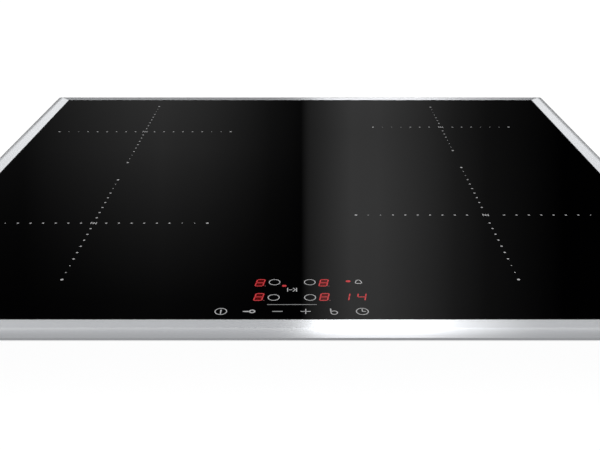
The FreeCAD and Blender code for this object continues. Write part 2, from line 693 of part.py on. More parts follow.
def support_plate(side, sign, column, widest):
    """The aluminium plate that carries a side's two coil units, on four posts."""
    body = new_body(f"coil_plate_{side}")
    outer = f"{sign} * ({TRAY_X} - tray_sheet - plate_edge_gap)"
    inner = f"{column} - ({sign}) * ({widest} / 2 + plate_middle_gap)"
    front = f"{DEEP_FRONT} - slope_run / 2"
    rear = f"{TRAY_Y} - tray_sheet - plate_edge_gap"
    outline = new_sketch(body, f"PlateOutline_{side}", offset=("0", "0", PLATE_BOTTOM))
    add_rectangle(outline, outer, inner, front, rear)
    extrude(body, outline, "plate_sheet")
    holes = new_sketch(body, f"PlateHoles_{side}", offset=("0", "0", f"{PLATE_TOP} + 1"))
    for zone, (x, y, _) in ZONES.items():
        if zone.endswith(side):
            add_circle(holes, x, y, "sensor_radius / 2")
    extrude(body, holes, "plate_sheet + 2", cut=True)
    columns = (f"{outer} - ({sign}) * post_inset", f"{inner} + ({sign}) * post_radius * 2")
    rows = (f"{front} + post_inset", f"{rear} - post_inset")
    return [
        cylinder(f"Post_{side}_{i}{j}", x, y, "tray_sheet", PLATE_BOTTOM, "post_radius")
        for i, x in enumerate(columns)
        for j, y in enumerate(rows)
    ]


# ---- blowers ------------------------------------------------------------------------------

FAN_Y = "(board_rear + fan_gap + fan_frame / 2)"
FAN_FLOOR = "tray_sheet"


def blower(side, column):
    """A scroll housing with an inlet underneath and an outlet towards the power board, and the
    bladed wheel that turns on its shaft."""
    half = "fan_frame / 2"
    shell = box(f"FanBlock_{side}", f"-{half}", half, f"-{half}", half, "0", "fan_height")
    room = cylinder(f"FanRoom_{side}", "0", "0", "fan_wall", "fan_height - fan_wall",
                    "rotor_radius + rotor_clearance")
    outlet = box(f"FanOutlet_{side}", "-rotor_radius * 0.6", "rotor_radius * 0.6", f"-{half} - 1", "0",
                 "fan_wall", "fan_height - fan_wall")
    inlet = cylinder(f"FanInlet_{side}", "0", "0", "-1", "fan_wall + 1", "fan_inlet")
    hollow = fuse(f"FanHollow_{side}", [room, outlet, inlet])
    lid = "fan_height - fan_wall"
    shaft = cylinder(f"FanShaft_{side}", "0", "0", "fan_wall + 1", f"{lid} + fan_wall / 2", "shaft_radius")
    motor = cylinder(f"FanMotor_{side}", "0", "0", f"{lid} - 2", "fan_height", "hub_radius + 3")
    body = cut(f"FanCut_{side}", shell, hollow)
    housing = piece(fuse(f"FanHousing_{side}", [body, shaft, motor]), f"blower_housing_{side}")
    place(housing, column, FAN_Y, FAN_FLOOR)
    wheel(side, column)


def wheel(side, column):
    body = new_body(f"blower_wheel_{side}")
    disc = new_sketch(body, f"WheelDisc_{side}", offset=("0", "0", "rotor_height - 1.5"))
    add_circle(disc, "0", "0", "rotor_radius")
    extrude(body, disc, "1.5")
    hub = new_sketch(body, f"WheelHub_{side}")
    add_circle(hub, "0", "0", "hub_radius")
    extrude(body, hub, "rotor_height")
    blade = new_sketch(body, f"WheelBlade_{side}")
    add_rectangle(blade, "rotor_radius - blade_length", "rotor_radius - 0.5",
                  "-blade_sheet / 2", "blade_sheet / 2")
    first = extrude(body, blade, "rotor_height - 1")
    ring_of(body, first, blade, "blade_count")
    band = new_sketch(body, f"WheelBand_{side}")
    add_circle(band, "0", "0", "rotor_radius")
    add_circle(band, "0", "0", "rotor_radius - blade_length / 2")
    extrude(body, band, "1")
    bore = new_sketch(body, f"WheelBore_{side}", offset=("0", "0", "rotor_height + 1"))
    add_circle(bore, "0", "0", "shaft_radius + shaft_clearance")
    body.Tip = extrude(body, bore, "rotor_height + 2", cut=True)
    place(body, column, FAN_Y, f"{FAN_FLOOR} + fan_wall + 1.5")


# ---- boards -------------------------------------------------------------------------------


def drilled_board(label, x0, x1, y0, y1, z):
    """A printed board with a hole in each corner; gives the holes' places."""
    body = new_body(label)
    outline = new_sketch(body, label + "_outline", offset=("0", "0", z))
    add_rectangle(outline, x0, x1, y0, y1)
    holes = []
    for x, inward_x in ((x0, "+"), (x1, "-")):
        for y, inward_y in ((y0, "+"), (y1, "-")):
            spot = (f"{x} {inward_x} board_hole_inset", f"{y} {inward_y} board_hole_inset")
            add_circle(outline, *spot, "board_hole")
            holes.append(spot)
    extrude(body, outline, "board_sheet")
    return holes


def standoffs(tag, places):
    return [
        cylinder(f"Standoff_{tag}_{i}", x, y, "tray_sheet", BOARD_BOTTOM, "standoff_radius")
        for i, (x, y) in enumerate(places)
    ]


def heat_sink(side, column, rear):
    body = new_body(f"heat_sink_{side}")
    base = new_sketch(body, f"SinkBase_{side}", offset=("0", "0", BOARD_TOP))
    x0, x1 = f"{column} - sink_width / 2", f"{column} + sink_width / 2"
    front = f"{rear} - sink_length"
    add_rectangle(base, x0, x1, front, rear)
    extrude(body, base, "sink_base")
    fin = new_sketch(body, f"SinkFin_{side}", offset=("0", "0", BOARD_TOP))
    add_rectangle(fin, x0, f"{x0} + fin_sheet", front, rear)
    first = extrude(body, fin, "sink_height")
    row_of(body, first, fin, "sink_width - fin_sheet", "fin_count")


def power_board(side, column):
    """Board, heat sink and the parts soldered to it."""
    x0, x1 = f"{column} - board_width / 2", f"{column} + board_width / 2"
    y0, y1 = "board_rear - board_length", "board_rear"
    holes = drilled_board(f"power_board_{side}", x0, x1, y0, y1, BOARD_BOTTOM)
    heat_sink(side, column, "board_rear - sink_inset")
    parts = []
    left = f"{x0} + film_cap_inset"
    beside_sink = f"{column} + sink_width / 2 + transistor_gap"
    for i in range(4):
        rear = f"board_rear - film_cap_rear - {i} * film_cap_pitch"
        parts.append(box(f"FilmCap_{side}_{i}", left, f"{left} + film_cap_width",
                         f"{rear} - film_cap_length", rear, BOARD_TOP, f"{BOARD_TOP} + film_cap_height"))
        rear = f"board_rear - transistor_rear - {i} * transistor_pitch"
        parts.append(box(f"Transistor_{side}_{i}", beside_sink, f"{beside_sink} + transistor_depth",
                         f"{rear} - transistor_width", rear, BOARD_TOP, f"{BOARD_TOP} + transistor_height"))
    for i in range(3):
        spot = (f"{x1} - can_cap_inset", f"board_rear - can_cap_rear - {i} * can_cap_pitch")
        parts.append(cylinder(f"CanCap_{side}_{i}", *spot, BOARD_TOP, f"{BOARD_TOP} + can_cap_height",
                              "can_cap_radius"))
    front = f"{y0} + relay_inset"
    for i in range(2):
        left = f"{column} - relay_start + {i} * relay_pitch"
        parts.append(box(f"Relay_{side}_{i}", left, f"{left} + relay_width", front, f"{front} + relay_length",
                         BOARD_TOP, f"{BOARD_TOP} + relay_height"))
    piece(fuse(f"BoardParts_{side}", parts), f"power_board_parts_{side}")
    return standoffs(side, holes)


def filter_board():
    """The mains filter board in front of the terminal housing."""
    rear = f"{TERMINAL_BACK} - terminal_depth - filter_gap"
    x0, x1 = "terminal_offset - filter_width / 2", "terminal_offset + filter_width / 2"
    holes = drilled_board("filter_board", x0, x1, f"{rear} - filter_length", rear, BOARD_BOTTOM)
    parts = []
    for tag, sign in (("left", "-"), ("right", "+")):
        core = doc.addObject("Part::Torus", f"Choke_{tag}")
        bind(core, "Radius1", "choke_radius")
        bind(core, "Radius2", "choke_ring")
        place(core, f"terminal_offset {sign} choke_spread", f"{rear} - choke_rear",
              f"{BOARD_TOP} + choke_ring")
        parts.append(core)
    parts.append(box("FilterCap", "terminal_offset - filter_cap_width / 2",
                     "terminal_offset + filter_cap_width / 2",
                     f"{rear} - filter_cap_rear - film_cap_width", f"{rear} - filter_cap_rear",
                     BOARD_TOP, f"{BOARD_TOP} + film_cap_height"))
    piece(fuse("FilterParts", parts), "filter_board_parts")
    return standoffs("filter", holes)


# ---- touch control ------------------------------------------------------------------------

PANEL_FRONT = f"(-{GLASS_Y} + ledge_width + panel_gap + panel_wall + panel_clearance)"


def panel_row(row):
    return f"-{GLASS_Y} + {row}"


def touch_control():
    """Touch board under the glass, with its displays, key pads and plastic carrier."""
    x0, x1 = "panel_offset - panel_width / 2", "panel_offset + panel_width / 2"
    y0, y1 = PANEL_FRONT, f"({PANEL_FRONT} + panel_length)"
    drilled_board("touch_board", x0, x1, y0, y1, f"{PANEL_TOP} - board_sheet")
    displays = []
    for tag, row in (("front", "zone_row_front"), ("rear", "zone_row_rear")):
        for side, sign in (("left", "-"), ("right", "+")):
            displays.append(display_block(f"{tag}_{side}", f"panel_offset {sign} display_spread", row))
    for i in range(2):
        displays.append(display_block(f"timer_{i}", f"panel_offset + timer_spread + {i} * timer_pitch",
                                      "zone_row_front"))
    piece(fuse("Displays", displays), "display_blocks")
    pads = []
    for i in range(6):
        spot = (f"panel_offset + ({i} - 2.5) * key_pitch", panel_row("key_row"))
        pads.append(key_pad(f"row_{i}", *spot))
    for tag, row in (("front", "zone_row_front"), ("rear", "zone_row_rear")):
        for side, sign in (("left", "-"), ("right", "+")):
            pads.append(key_pad(f"{tag}_{side}", f"panel_offset {sign} zone_key_spread", panel_row(row)))
    piece(fuse("KeyPads", pads), "touch_key_pads")
    margin, outer = "panel_clearance", "(panel_clearance + panel_wall)"
    block = box("CarrierBlock", f"{x0} - {outer}", f"{x1} + {outer}", f"{y0} - {outer}", f"{y1} + {outer}",
                PANEL_FLOOR, GLASS_BOTTOM)
    room = box("CarrierRoom", f"{x0} - {margin}", f"{x1} + {margin}",
               f"{y0} - {margin}", f"{y1} + {margin}",
               f"{PANEL_FLOOR} + panel_wall", f"{GLASS_BOTTOM} + 1")
    piece(cut("CarrierCut", block, room), "touch_board_carrier")


def display_block(tag, x, row):
    y = panel_row(row)
    return box(f"Display_{tag}", f"{x} - display_width / 2", f"{x} + display_width / 2",
               f"{y} - display_length / 2", f"{y} + display_length / 2", PANEL_TOP,
               f"{GLASS_BOTTOM} - display_gap")


def key_pad(tag, x, y):
    return cylinder(f"KeyPad_{tag}", x, y, PANEL_TOP, GLASS_BOTTOM, "key_radius")


# ---- mains terminal -----------------------------------------------------------------------

TERMINAL_TOP = "(terminal_floor + terminal_height)"
ENTRY_X = "(terminal_offset + terminal_width / 2 + entry_gap)"
ENTRY_Z = "(terminal_floor + terminal_height / 2)"
HINGE_Y = f"({TRAY_Y} + cover_gap + barrel_radius)"
HINGE_Z = f"({TERMINAL_TOP} + barrel_radius)"
BARREL_HALF = "(terminal_width / 2 - ear_width - ear_gap)"


def terminal_mouth():
    """The clear mouth of the terminal housing, seen from behind."""
    half = "terminal_width / 2 - terminal_wall"
    return (f"terminal_offset - {half}", f"terminal_offset + {half}",
            "rear_bevel + tray_sheet + 1", f"{TERMINAL_TOP} - terminal_wall")


def terminal():
    """Housing, terminal block, hinged cover with its pin, and the bush for the mains cable."""
    x0, x1 = "terminal_offset - terminal_width / 2", "terminal_offset + terminal_width / 2"
    front = f"{TERMINAL_BACK} - terminal_depth"
    shell = box("HousingShell", x0, x1, front, TERMINAL_BACK, "terminal_floor", TERMINAL_TOP)
    room = box("HousingRoom", f"{x0} + terminal_wall", f"{x1} - terminal_wall", f"{front} + terminal_wall",
               f"{TERMINAL_BACK} + 1", "terminal_floor + terminal_wall", f"{TERMINAL_TOP} - terminal_wall")
    under = box("HousingBevel", x0, x1, f"{TRAY_Y} - rear_bevel - tray_sheet", f"{TERMINAL_BACK} + 1",
                "terminal_floor - 1", "rear_bevel + tray_sheet")
    trough = cut("HousingTrough", cut("HousingCut", shell, room), under)
    piece(trough, "terminal_housing")
    block = box("PoleBlock", "terminal_offset - terminal_poles * pole_pitch / 2",
                "terminal_offset + terminal_poles * pole_pitch / 2", f"{front} + terminal_wall",
                f"{front} + terminal_wall + block_depth", "terminal_floor + terminal_wall",
                f"{TERMINAL_TOP} - block_drop")
    sockets = [
        cylinder_along(f"Pole_{i}", FreeCAD.Vector(0, 1, 0),
                       (f"terminal_offset + ({i} - (terminal_poles - 1) / 2) * pole_pitch",
                        f"{front} + terminal_wall + pole_end", "terminal_floor + pole_rise"),
                       "block_depth", "pole_radius")
        for i in range(SIZES["terminal_poles"][0])
    ]
    piece(cut("PoleCut", block, fuse("PoleSockets", sockets)), "terminal_block")
    terminal_hinge(x0, x1)
    cable_bush()


def terminal_hinge(x0, x1):
    """Two ears on the tray's rear wall with the pin riveted in; the cover's barrel turns on it."""
    ears = []
    across = FreeCAD.Vector(1, 0, 0)
    for tag, left in (("a", x0), ("b", f"{x1} - ear_width")):
        barrel = cylinder_along(f"Ear_{tag}", across, (left, HINGE_Y, HINGE_Z), "ear_width",
                                "barrel_radius")
        foot = box(f"EarFoot_{tag}", left, f"{left} + ear_width", TRAY_Y, HINGE_Y, HINGE_Z,
                   f"{HINGE_Z} + barrel_radius")
        ears += [barrel, foot]
    pin = cylinder_along("HingePin", across, (x0, HINGE_Y, HINGE_Z), "terminal_width", "pin_radius")
    piece(fuse("CoverHinge", ears + [pin]), "terminal_hinge")
    back = f"{TRAY_Y} + cover_gap"
    left = f"terminal_offset - {BARREL_HALF}"
    mouth_x0, mouth_x1, mouth_z0, _ = terminal_mouth()
    plate = box("CoverPlate", f"{mouth_x0} - cover_margin", f"{mouth_x1} + cover_margin", back,
                f"{back} + cover_sheet", f"{mouth_z0} - cover_margin", f"{TERMINAL_TOP} - ear_gap")
    neck = box("CoverNeck", left, f"{left} + 2 * {BARREL_HALF}", back, f"{back} + cover_sheet",
               f"{TERMINAL_TOP} - ear_gap - 1", HINGE_Z)
    barrel = cylinder_along("CoverBarrel", across, (left, HINGE_Y, HINGE_Z),
                            f"2 * {BARREL_HALF}", "barrel_radius")
    bore = cylinder_along("CoverBore", across, (f"{left} - 1", HINGE_Y, HINGE_Z),
                          f"2 * {BARREL_HALF} + 2", "pin_radius + pin_clearance")
    lower = f"{mouth_z0} - cover_margin"
    grip = box("CoverGrip", "terminal_offset - grip_width / 2", "terminal_offset + grip_width / 2",
               f"{back} + cover_sheet / 2",
               f"{back} + cover_sheet + 2", lower, f"{lower} + cover_grip")
    piece(cut("CoverCut", fuse("CoverFuse", [plate, neck, barrel, grip]), bore), "terminal_cover")


def cable_bush():
    """A flanged plastic bush: the mains cable's way in."""
    rear = f"({TRAY_Y} + entry_flange)"
    outer = "entry_radius + entry_wall"
    along = FreeCAD.Vector(0, 1, 0)
    sleeve = cylinder_along("BushSleeve", along, (ENTRY_X, f"{rear} - entry_length", ENTRY_Z),
                            "entry_length", outer)
    lip = cylinder_along("BushLip", along, (ENTRY_X, TRAY_Y, ENTRY_Z), "entry_flange", f"{outer} + 2")
    catch = cylinder_along("BushCatch", along, (ENTRY_X, f"{TERMINAL_BACK} - entry_flange", ENTRY_Z),
                           "entry_flange", f"{outer} + 1")
    bore = cylinder_along("BushBore", along, (ENTRY_X, f"{rear} - entry_length - 1", ENTRY_Z),
                          "entry_length + 2", "entry_radius")
    piece(cut("BushCut", fuse("BushFuse", [sleeve, lip, catch]), bore), "cable_bush")


# ---- fixing clamps ------------------------------------------------------------------------


def clamp(corner, side, end):
    """A swivelling arm with an upturned tip, parked along the tray in its niche."""
    body = new_body(f"clamp_{corner}")
    half = "clamp_width / 2"
    reach = f"-({end}) * clamp_length"
    arm = new_sketch(body, f"Arm_{corner}")
    add_rectangle(arm, f"-{half}", half, "0", reach)
    extrude(body, arm, "clamp_sheet")
    eye = new_sketch(body, f"Eye_{corner}")
    add_circle(eye, "0", "0", half)
    extrude(body, eye, "clamp_sheet")
    tip = new_sketch(body, f"Tip_{corner}")
    add_rectangle(tip, f"-{half}", half, f"{reach} + ({end}) * clamp_sheet", reach)
    extrude(body, tip, "clamp_sheet + clamp_tip")
    bore = new_sketch(body, f"Bore_{corner}", offset=("0", "0", "clamp_sheet + 1"))
    add_circle(bore, "0", "0", "clamp_screw + clamp_clearance")
    extrude(body, bore, "clamp_sheet + 2", cut=True)
    place(body, f"{side} * {CLAMP_X}", f"{end} * {CLAMP_Y}", "clamp_floor")


def clamp_fasteners():
    screws, nuts = [], []
    head_top = "clamp_floor - clamp_rest"
    ceiling = "niche_height + tray_sheet"
    for corner, (side, end) in CLAMPS.items():
        x, y = f"{side} * {CLAMP_X}", f"{end} * {CLAMP_Y}"
        head_bottom = f"({head_top} - screw_head)"
        shank = cylinder(f"ClampShank_{corner}", x, y, f"{head_top} - 1", f"{ceiling} + nut_height + 0.4",
                         "clamp_screw")
        head = cylinder(f"ClampHead_{corner}", x, y, head_bottom, head_top, "clamp_screw * 2")
        socket = hexagon(f"ClampSocket_{corner}", x, y, f"{head_bottom} - 1", f"{head_top} - 1.2", "3")
        screws.append(cut(f"ClampScrew_{corner}", fuse(f"ClampScrewBody_{corner}", [shank, head]), socket))
        blank = hexagon(f"NutBlank_{corner}", x, y, ceiling, f"{ceiling} + nut_height", "7")
        thread = cylinder(f"NutThread_{corner}", x, y, f"{ceiling} - 1", f"{ceiling} + nut_height + 1",
                          "clamp_screw")
        nuts.append(cut(f"Nut_{corner}", blank, thread))
    piece(fuse("ClampScrews", screws), "clamp_screws")
    piece(fuse("ClampNuts", nuts), "clamp_nuts")


def case_screws():
    """Screws up through the tray's flange into the trim ledges."""
    screws = []
    for i, (x, y) in enumerate(case_screw_places()):
        head_bottom = f"{FLANGE_BOTTOM} - case_head_height"
        shank = cylinder(f"CaseShank_{i}", x, y, f"{FLANGE_BOTTOM} - 0.5", LEDGE_BOTTOM, "case_screw")
        head = cylinder(f"CaseHead_{i}", x, y, head_bottom, FLANGE_BOTTOM, "case_head")
        screws.append(fuse(f"CaseScrew_{i}", [shank, head]))
    piece(fuse("CaseScrews", screws), "case_screws")


# ---- wiring -------------------------------------------------------------------------------


def lead(points):
    """An insulated wire: straight runs with a ball at each bend."""
    radius = value("lead_radius")
    corners = [FreeCAD.Vector(*(value(text) for text in point)) for point in points]
    runs = [
        Part.makeCylinder(radius, (stop - start).Length, start, stop - start)
        for start, stop in zip(corners, corners[1:])
    ]
    balls = [Part.makeSphere(radius, corner) for corner in corners[1:-1]]
    return runs[0].multiFuse(runs[1:] + balls)


def wiring():
    """Mains leads from terminal block to filter board, and on to the power boards."""
    front = f"{TERMINAL_BACK} - terminal_depth"
    filter_rear = f"{front} - filter_gap"
    above = f"{BOARD_TOP} + 4"
    solids = []
    for i in range(3):
        x = f"terminal_offset + ({i} - 1) * pole_pitch"
        route = [(x, f"{front} - lead_radius", f"{BOARD_TOP} + 6"), (x, f"{filter_rear} + 6", above),
                 (x, f"{filter_rear} - 6", above)]
        solids.append(lead(route))
    for sign, column in SIDES.values():
        start = f"terminal_offset + ({sign}) * (filter_width / 2 - 10)"
        stop = f"{column} - ({sign}) * (board_width / 2 - 6)"
        y0, y1 = f"{filter_rear} - filter_length + 12", "board_rear - 16"
        solids.append(lead([(start, y0, f"{BOARD_TOP} + 2"), (start, y1, above), (stop, y1, above),
                            (stop, f"{y1} - 4", f"{BOARD_TOP} + 2")]))
    leads = doc.addObject("Part::Feature", "Leads")
    leads.Shape = Part.makeCompound(solids)
    piece(leads, "leads")


def write_parts():
    """Checks every object, then writes each sub-part's solid."""
    doc.recompute()
    for thing in doc.Objects:
        if "Invalid" in thing.State or "Error" in thing.State:
            raise RuntimeError(f"{thing.Label} failed: {thing.State}")
    os.makedirs("parts", exist_ok=True)
    for thing in pieces:
        if thing.Shape.isNull() or not thing.Shape.isValid() or not thing.Shape.Solids:
            raise RuntimeError(f"{thing.Label} has no valid solid")
        thing.Shape.exportStep(f"parts/{thing.Label}.step")
    print(len(pieces), "sub-parts")


fill_sheet()
glass_top()
trim("trim_rear", "overall_width", GLASS_Y, 0)
trim("trim_front", "overall_width", GLASS_Y, 180)
trim("trim_left", "overall_depth", GLASS_X, 90)
trim("trim_right", "overall_depth", GLASS_X, -90)
glass_seal()
worktop_gasket()
base_tray()
for zone, (x, y, diameter) in ZONES.items():
    coil_unit(zone, x, y, diameter)
mica_and_sensors()
posts = support_plate("left", -1, LEFT_X, "front_left_zone")
posts += support_plate("right", 1, RIGHT_X, "front_right_zone")
piece(fuse("Posts", posts), "plate_posts")
board_standoffs = filter_board()
for side, (sign, column) in SIDES.items():
    blower(side, column)
    board_standoffs += power_board(side, column)
piece(fuse("Standoffs", board_standoffs), "board_standoffs")
touch_control()
terminal()
for corner, (side, end) in CLAMPS.items():
    clamp(corner, side, end)
clamp_fasteners()
case_screws()
wiring()
write_parts()
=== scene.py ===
import math

import bmesh
import bpy
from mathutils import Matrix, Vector


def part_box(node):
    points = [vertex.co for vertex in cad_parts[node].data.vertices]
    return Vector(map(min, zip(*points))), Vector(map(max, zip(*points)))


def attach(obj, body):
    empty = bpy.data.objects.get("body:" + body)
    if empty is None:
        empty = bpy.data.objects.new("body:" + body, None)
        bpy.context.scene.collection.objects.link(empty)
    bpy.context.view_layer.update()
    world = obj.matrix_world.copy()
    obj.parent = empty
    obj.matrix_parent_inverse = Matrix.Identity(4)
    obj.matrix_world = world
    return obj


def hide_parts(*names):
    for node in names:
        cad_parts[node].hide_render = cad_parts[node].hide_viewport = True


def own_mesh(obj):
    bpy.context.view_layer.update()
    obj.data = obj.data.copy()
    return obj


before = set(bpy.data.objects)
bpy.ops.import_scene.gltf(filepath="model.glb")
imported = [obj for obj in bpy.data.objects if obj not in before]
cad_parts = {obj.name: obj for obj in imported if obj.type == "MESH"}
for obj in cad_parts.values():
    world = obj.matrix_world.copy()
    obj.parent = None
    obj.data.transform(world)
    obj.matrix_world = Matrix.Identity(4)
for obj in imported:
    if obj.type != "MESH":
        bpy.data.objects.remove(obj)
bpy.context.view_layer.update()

bl_info = {
    "name": "Induction hob finish",
    "version": (1, 0, 0),
    "blender": (4, 5, 0),
    "location": "3D View > Sidebar > Hob",
    "description": "Finishes, prints, wound parts and stage of a built-in induction hob",
    "category": "Object",
}

MM = 0.001
ZONES = ("front_left", "rear_left", "front_right", "rear_right")
CORNERS = ("front_left", "front_right", "rear_left", "rear_right")
SIDES = ("left", "right")
GLASS_LOW, GLASS_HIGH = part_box("glass_ceramic_top")
RELIEF = 0.0002  # usual depth of a surface's relief


# ---- settings ----------------------------


def colour_setting(name, description, default):
    return bpy.props.FloatVectorProperty(
        name=name, description=description, default=default, size=3, min=0, max=1, subtype="COLOR"
    )


def length_setting(name, description, millimetres):
    return bpy.props.FloatProperty(
        name=name, description=description, default=millimetres * MM, min=0, precision=5,
        unit="LENGTH", subtype="DISTANCE",
    )


def share_setting(name, description, default):
    return bpy.props.FloatProperty(
        name=name, description=description, default=default, min=0, max=1, subtype="FACTOR"
    )


class HobGlassSettings(bpy.types.PropertyGroup):
    """The glass ceramic and the prints on it."""

    glass_colour: colour_setting("Glass", "Body colour of the glass ceramic", (0.0004, 0.0004, 0.0005))
    glass_roughness: share_setting("Polish", "Roughness of the polished face", 0.012)
    print_colour: colour_setting("Print", "Print of the zones and touch symbols", (0.86, 0.86, 0.87))
    dim_print_colour: colour_setting("Dim print", "Smaller dots and the weaker symbols", (0.5, 0.5, 0.51))
    print_height: length_setting("Print height", "Thickness of the ceramic print", 0.03)
    dot_pitch: length_setting("Dot pitch", "Dot to dot on a zone's cross", 10)
    end_dot: length_setting("End dot", "Diameter of the outermost dot", 2.2)
    dot: length_setting("Dot", "Diameter of the other dots", 1.72)
    faint_dot: length_setting("Faint dot", "Diameter of the dots next to the end dot", 1.0)
    line: length_setting("Line", "Width of a symbol's lines", 0.6)


class HobDisplaySettings(bpy.types.PropertyGroup):
    """The lit digits and lamps of the touch control."""

    digit_colour: colour_setting("Digit", "Light of the digits and lamps", (0.5, 0.01, 0.016))
    glow_colour: colour_setting("Glow", "Weak light round the digits", (0.085, 0.002, 0.002))
    digit_width: length_setting("Digit width", "Width of a digit", 6.1)
    digit_height: length_setting("Digit height", "Height of a digit", 9.6)
    digit_line: length_setting("Segment", "Width of a digit's segments", 0.9)
    digit_slant: share_setting("Slant", "Lean of the digits", 0.16)


class HobMetalSettings(bpy.types.PropertyGroup):
    """Steel, zinc and aluminium."""

    steel_colour: colour_setting("Steel", "Brushed stainless steel of the trims", (0.72, 0.735, 0.76))
    steel_roughness: share_setting("Steel brushing", "Roughness of the brushed steel", 0.24)
    zinc_colour: colour_setting("Zinc", "Galvanised sheet of the case", (0.56, 0.58, 0.6))
    aluminium_colour: colour_setting("Aluminium", "Coil plates and heat sinks", (0.78, 0.78, 0.79))
    copper_colour: colour_setting("Copper", "Varnished copper of the litz wire", (0.63, 0.26, 0.11))
    litz_pitch: length_setting("Litz pitch", "Turn to turn of a winding", 3.1)
    spring_wire: length_setting("Spring wire", "Wire diameter of the coil springs", 0.9)
    spring_turns: bpy.props.IntProperty(
        name="Spring turns", description="Turns of a coil spring", default=5, min=2, max=20
    )


class HobStageSettings(bpy.types.PropertyGroup):
    """Floor, light and camera."""

    floor_colour: colour_setting("Floor", "Pale floor", (0.3, 0.3, 0.3))
    floor_glow: share_setting("Floor glow", "How far the floor lights itself", 0.94)
    floor_bounce: share_setting("Floor bounce", "Light the floor gives back to the hob", 0.3)
    overhead: bpy.props.FloatProperty(
        name="Overhead light", description="Level of the soft light above", default=0.45, min=0
    )
    trim_light: bpy.props.FloatProperty(
        name="Trim light", description="Power of the lights on the side trims", default=5.6, min=0
    )
    lens: bpy.props.FloatProperty(
        name="Lens", description="Focal length in millimetres on a 36 mm sensor", default=46.29, min=1
    )
    pitch: bpy.props.FloatProperty(
        name="Camera pitch", description="How far the camera looks down",
        default=math.radians(25.67), subtype="ANGLE", unit="ROTATION",
    )


# ---- shader wiring -----------------------


class Wires:
    """Places shader nodes in a tree and joins them."""

    def __init__(self, tree):
        self.tree = tree

    def node(self, kind, settings=None, **inputs):
        made = self.tree.nodes.new("ShaderNode" + kind)
        made.location = (len(self.tree.nodes) % 8 * 200, -(len(self.tree.nodes) // 8) * 260)
        for name, value in (settings or {}).items():
            setattr(made, name, value)
        for name, value in inputs.items():
            self.feed(made.inputs[name.replace("_", " ")], value)
        return made

    def feed(self, socket, value):
        if isinstance(value, bpy.types.NodeSocket):
            self.tree.links.new(value, socket)
        elif socket.type == "RGBA" and len(value) == 3:
            socket.default_value = (*value, 1)
        else:
            socket.default_value = value

    def math(self, operation, *values):
        made = self.node("Math", {"operation": operation})
        for socket, value in zip(made.inputs, values):
            self.feed(socket, value)
        return made.outputs[0]

    def vector(self, operation, first, second):
        made = self.node("VectorMath", {"operation": operation})
        self.feed(made.inputs[0], first)
        self.feed(made.inputs[1], second)
        return made.outputs["Value" if operation == "DOT_PRODUCT" else "Vector"]

    def shaded(self, colour, shade):
        """The colour times one number."""
        grey = self.node("CombineXYZ", X=shade, Y=shade, Z=shade)
        return self.vector("MULTIPLY", colour, grey.outputs[0])

    def between(self, value, low, high, bottom=0.0, top=1.0, smooth=True):
        """Value from low..high carried over to bottom..top, level outside."""
        made = self.node("MapRange", {"interpolation_type": "SMOOTHSTEP" if smooth else "LINEAR"})
        for name, number in zip(("Value", "From Min", "From Max", "To Min", "To Max"),
                                (value, low, high, bottom, top)):
            self.feed(made.inputs[name], number)
        return made.outputs[0]

    def ramp(self, value, stops, low, high):
        """Levels at the given places between low and high, joined by smooth lines."""
        made = self.node("ValToRGB")
        marks = made.color_ramp.elements
        while len(marks) < len(stops):
            marks.new(0.5)
        for mark, (place, level) in zip(marks, stops):
            mark.position = (place - low) / (high - low)
            mark.color = (level, level, level, 1)
        self.feed(made.inputs[0], self.between(value, low, high, smooth=False))
        return made.outputs["Color"]

    def blend(self, share, first, second):
        made = self.node("Mix", {"data_type": "RGBA"})
        self.feed(made.inputs[0], share)
        self.feed(made.inputs[6], first)
        self.feed(made.inputs[7], second)
        return made.outputs[2]

    def noise(self, vector, scale, detail=2.0, roughness=0.5):
        made = self.node("TexNoise", Vector=vector, Scale=scale, Detail=detail, Roughness=roughness)
        return made.outputs["Fac"]

    def place(self):
        """The point on the piece, in metres."""
        return self.node("TexCoord").outputs["Object"]


def new_group(name, inputs, outputs):
    """An empty shared effect with its named sockets."""
    group = bpy.data.node_groups.new(name, "ShaderNodeTree")
    for label, kind, default in inputs:
        socket = group.interface.new_socket(label, in_out="INPUT", socket_type="NodeSocket" + kind)
        socket.default_value = (*default, 1) if kind == "Color" else default
    for label, kind in outputs:
        group.interface.new_socket(label, in_out="OUTPUT", socket_type="NodeSocket" + kind)
    start, end = group.nodes.new("NodeGroupInput"), group.nodes.new("NodeGroupOutput")
    return Wires(group), start.outputs, end.inputs


def make_grain_group():
    """Brushed grain: fine lines along one axis, some of them deeper."""
    wires, given, result = new_group(
        "Brushed grain",
        [("Stretch", "Vector", (1, 1, 1)), ("Colour", "Color", (0.7, 0.7, 0.7)),
         ("Roughness", "Float", 0.4), ("Variation", "Float", 0.1)],
        [("Colour", "Color"), ("Roughness", "Float"), ("Height", "Float")],
    )
    place = wires.vector("MULTIPLY", wires.place(), given["Stretch"])
    fine = wires.noise(place, 1.0, 3.0, 0.65)
    broad = wires.noise(place, 0.23, 1.0)
    lines = wires.math("ADD", wires.math("MULTIPLY", fine, 0.7), wires.math("MULTIPLY", broad, 0.3))
    swing = wires.math("SUBTRACT", lines, 0.5)
    shade = wires.math("MULTIPLY_ADD", swing, given["Variation"], 1.0)
    wires.feed(result["Colour"], wires.shaded(given["Colour"], shade))
    gloss = wires.math("MULTIPLY_ADD", swing, given["Variation"], given["Roughness"])
    wires.feed(result["Roughness"], gloss)
    wires.feed(result["Height"], lines)


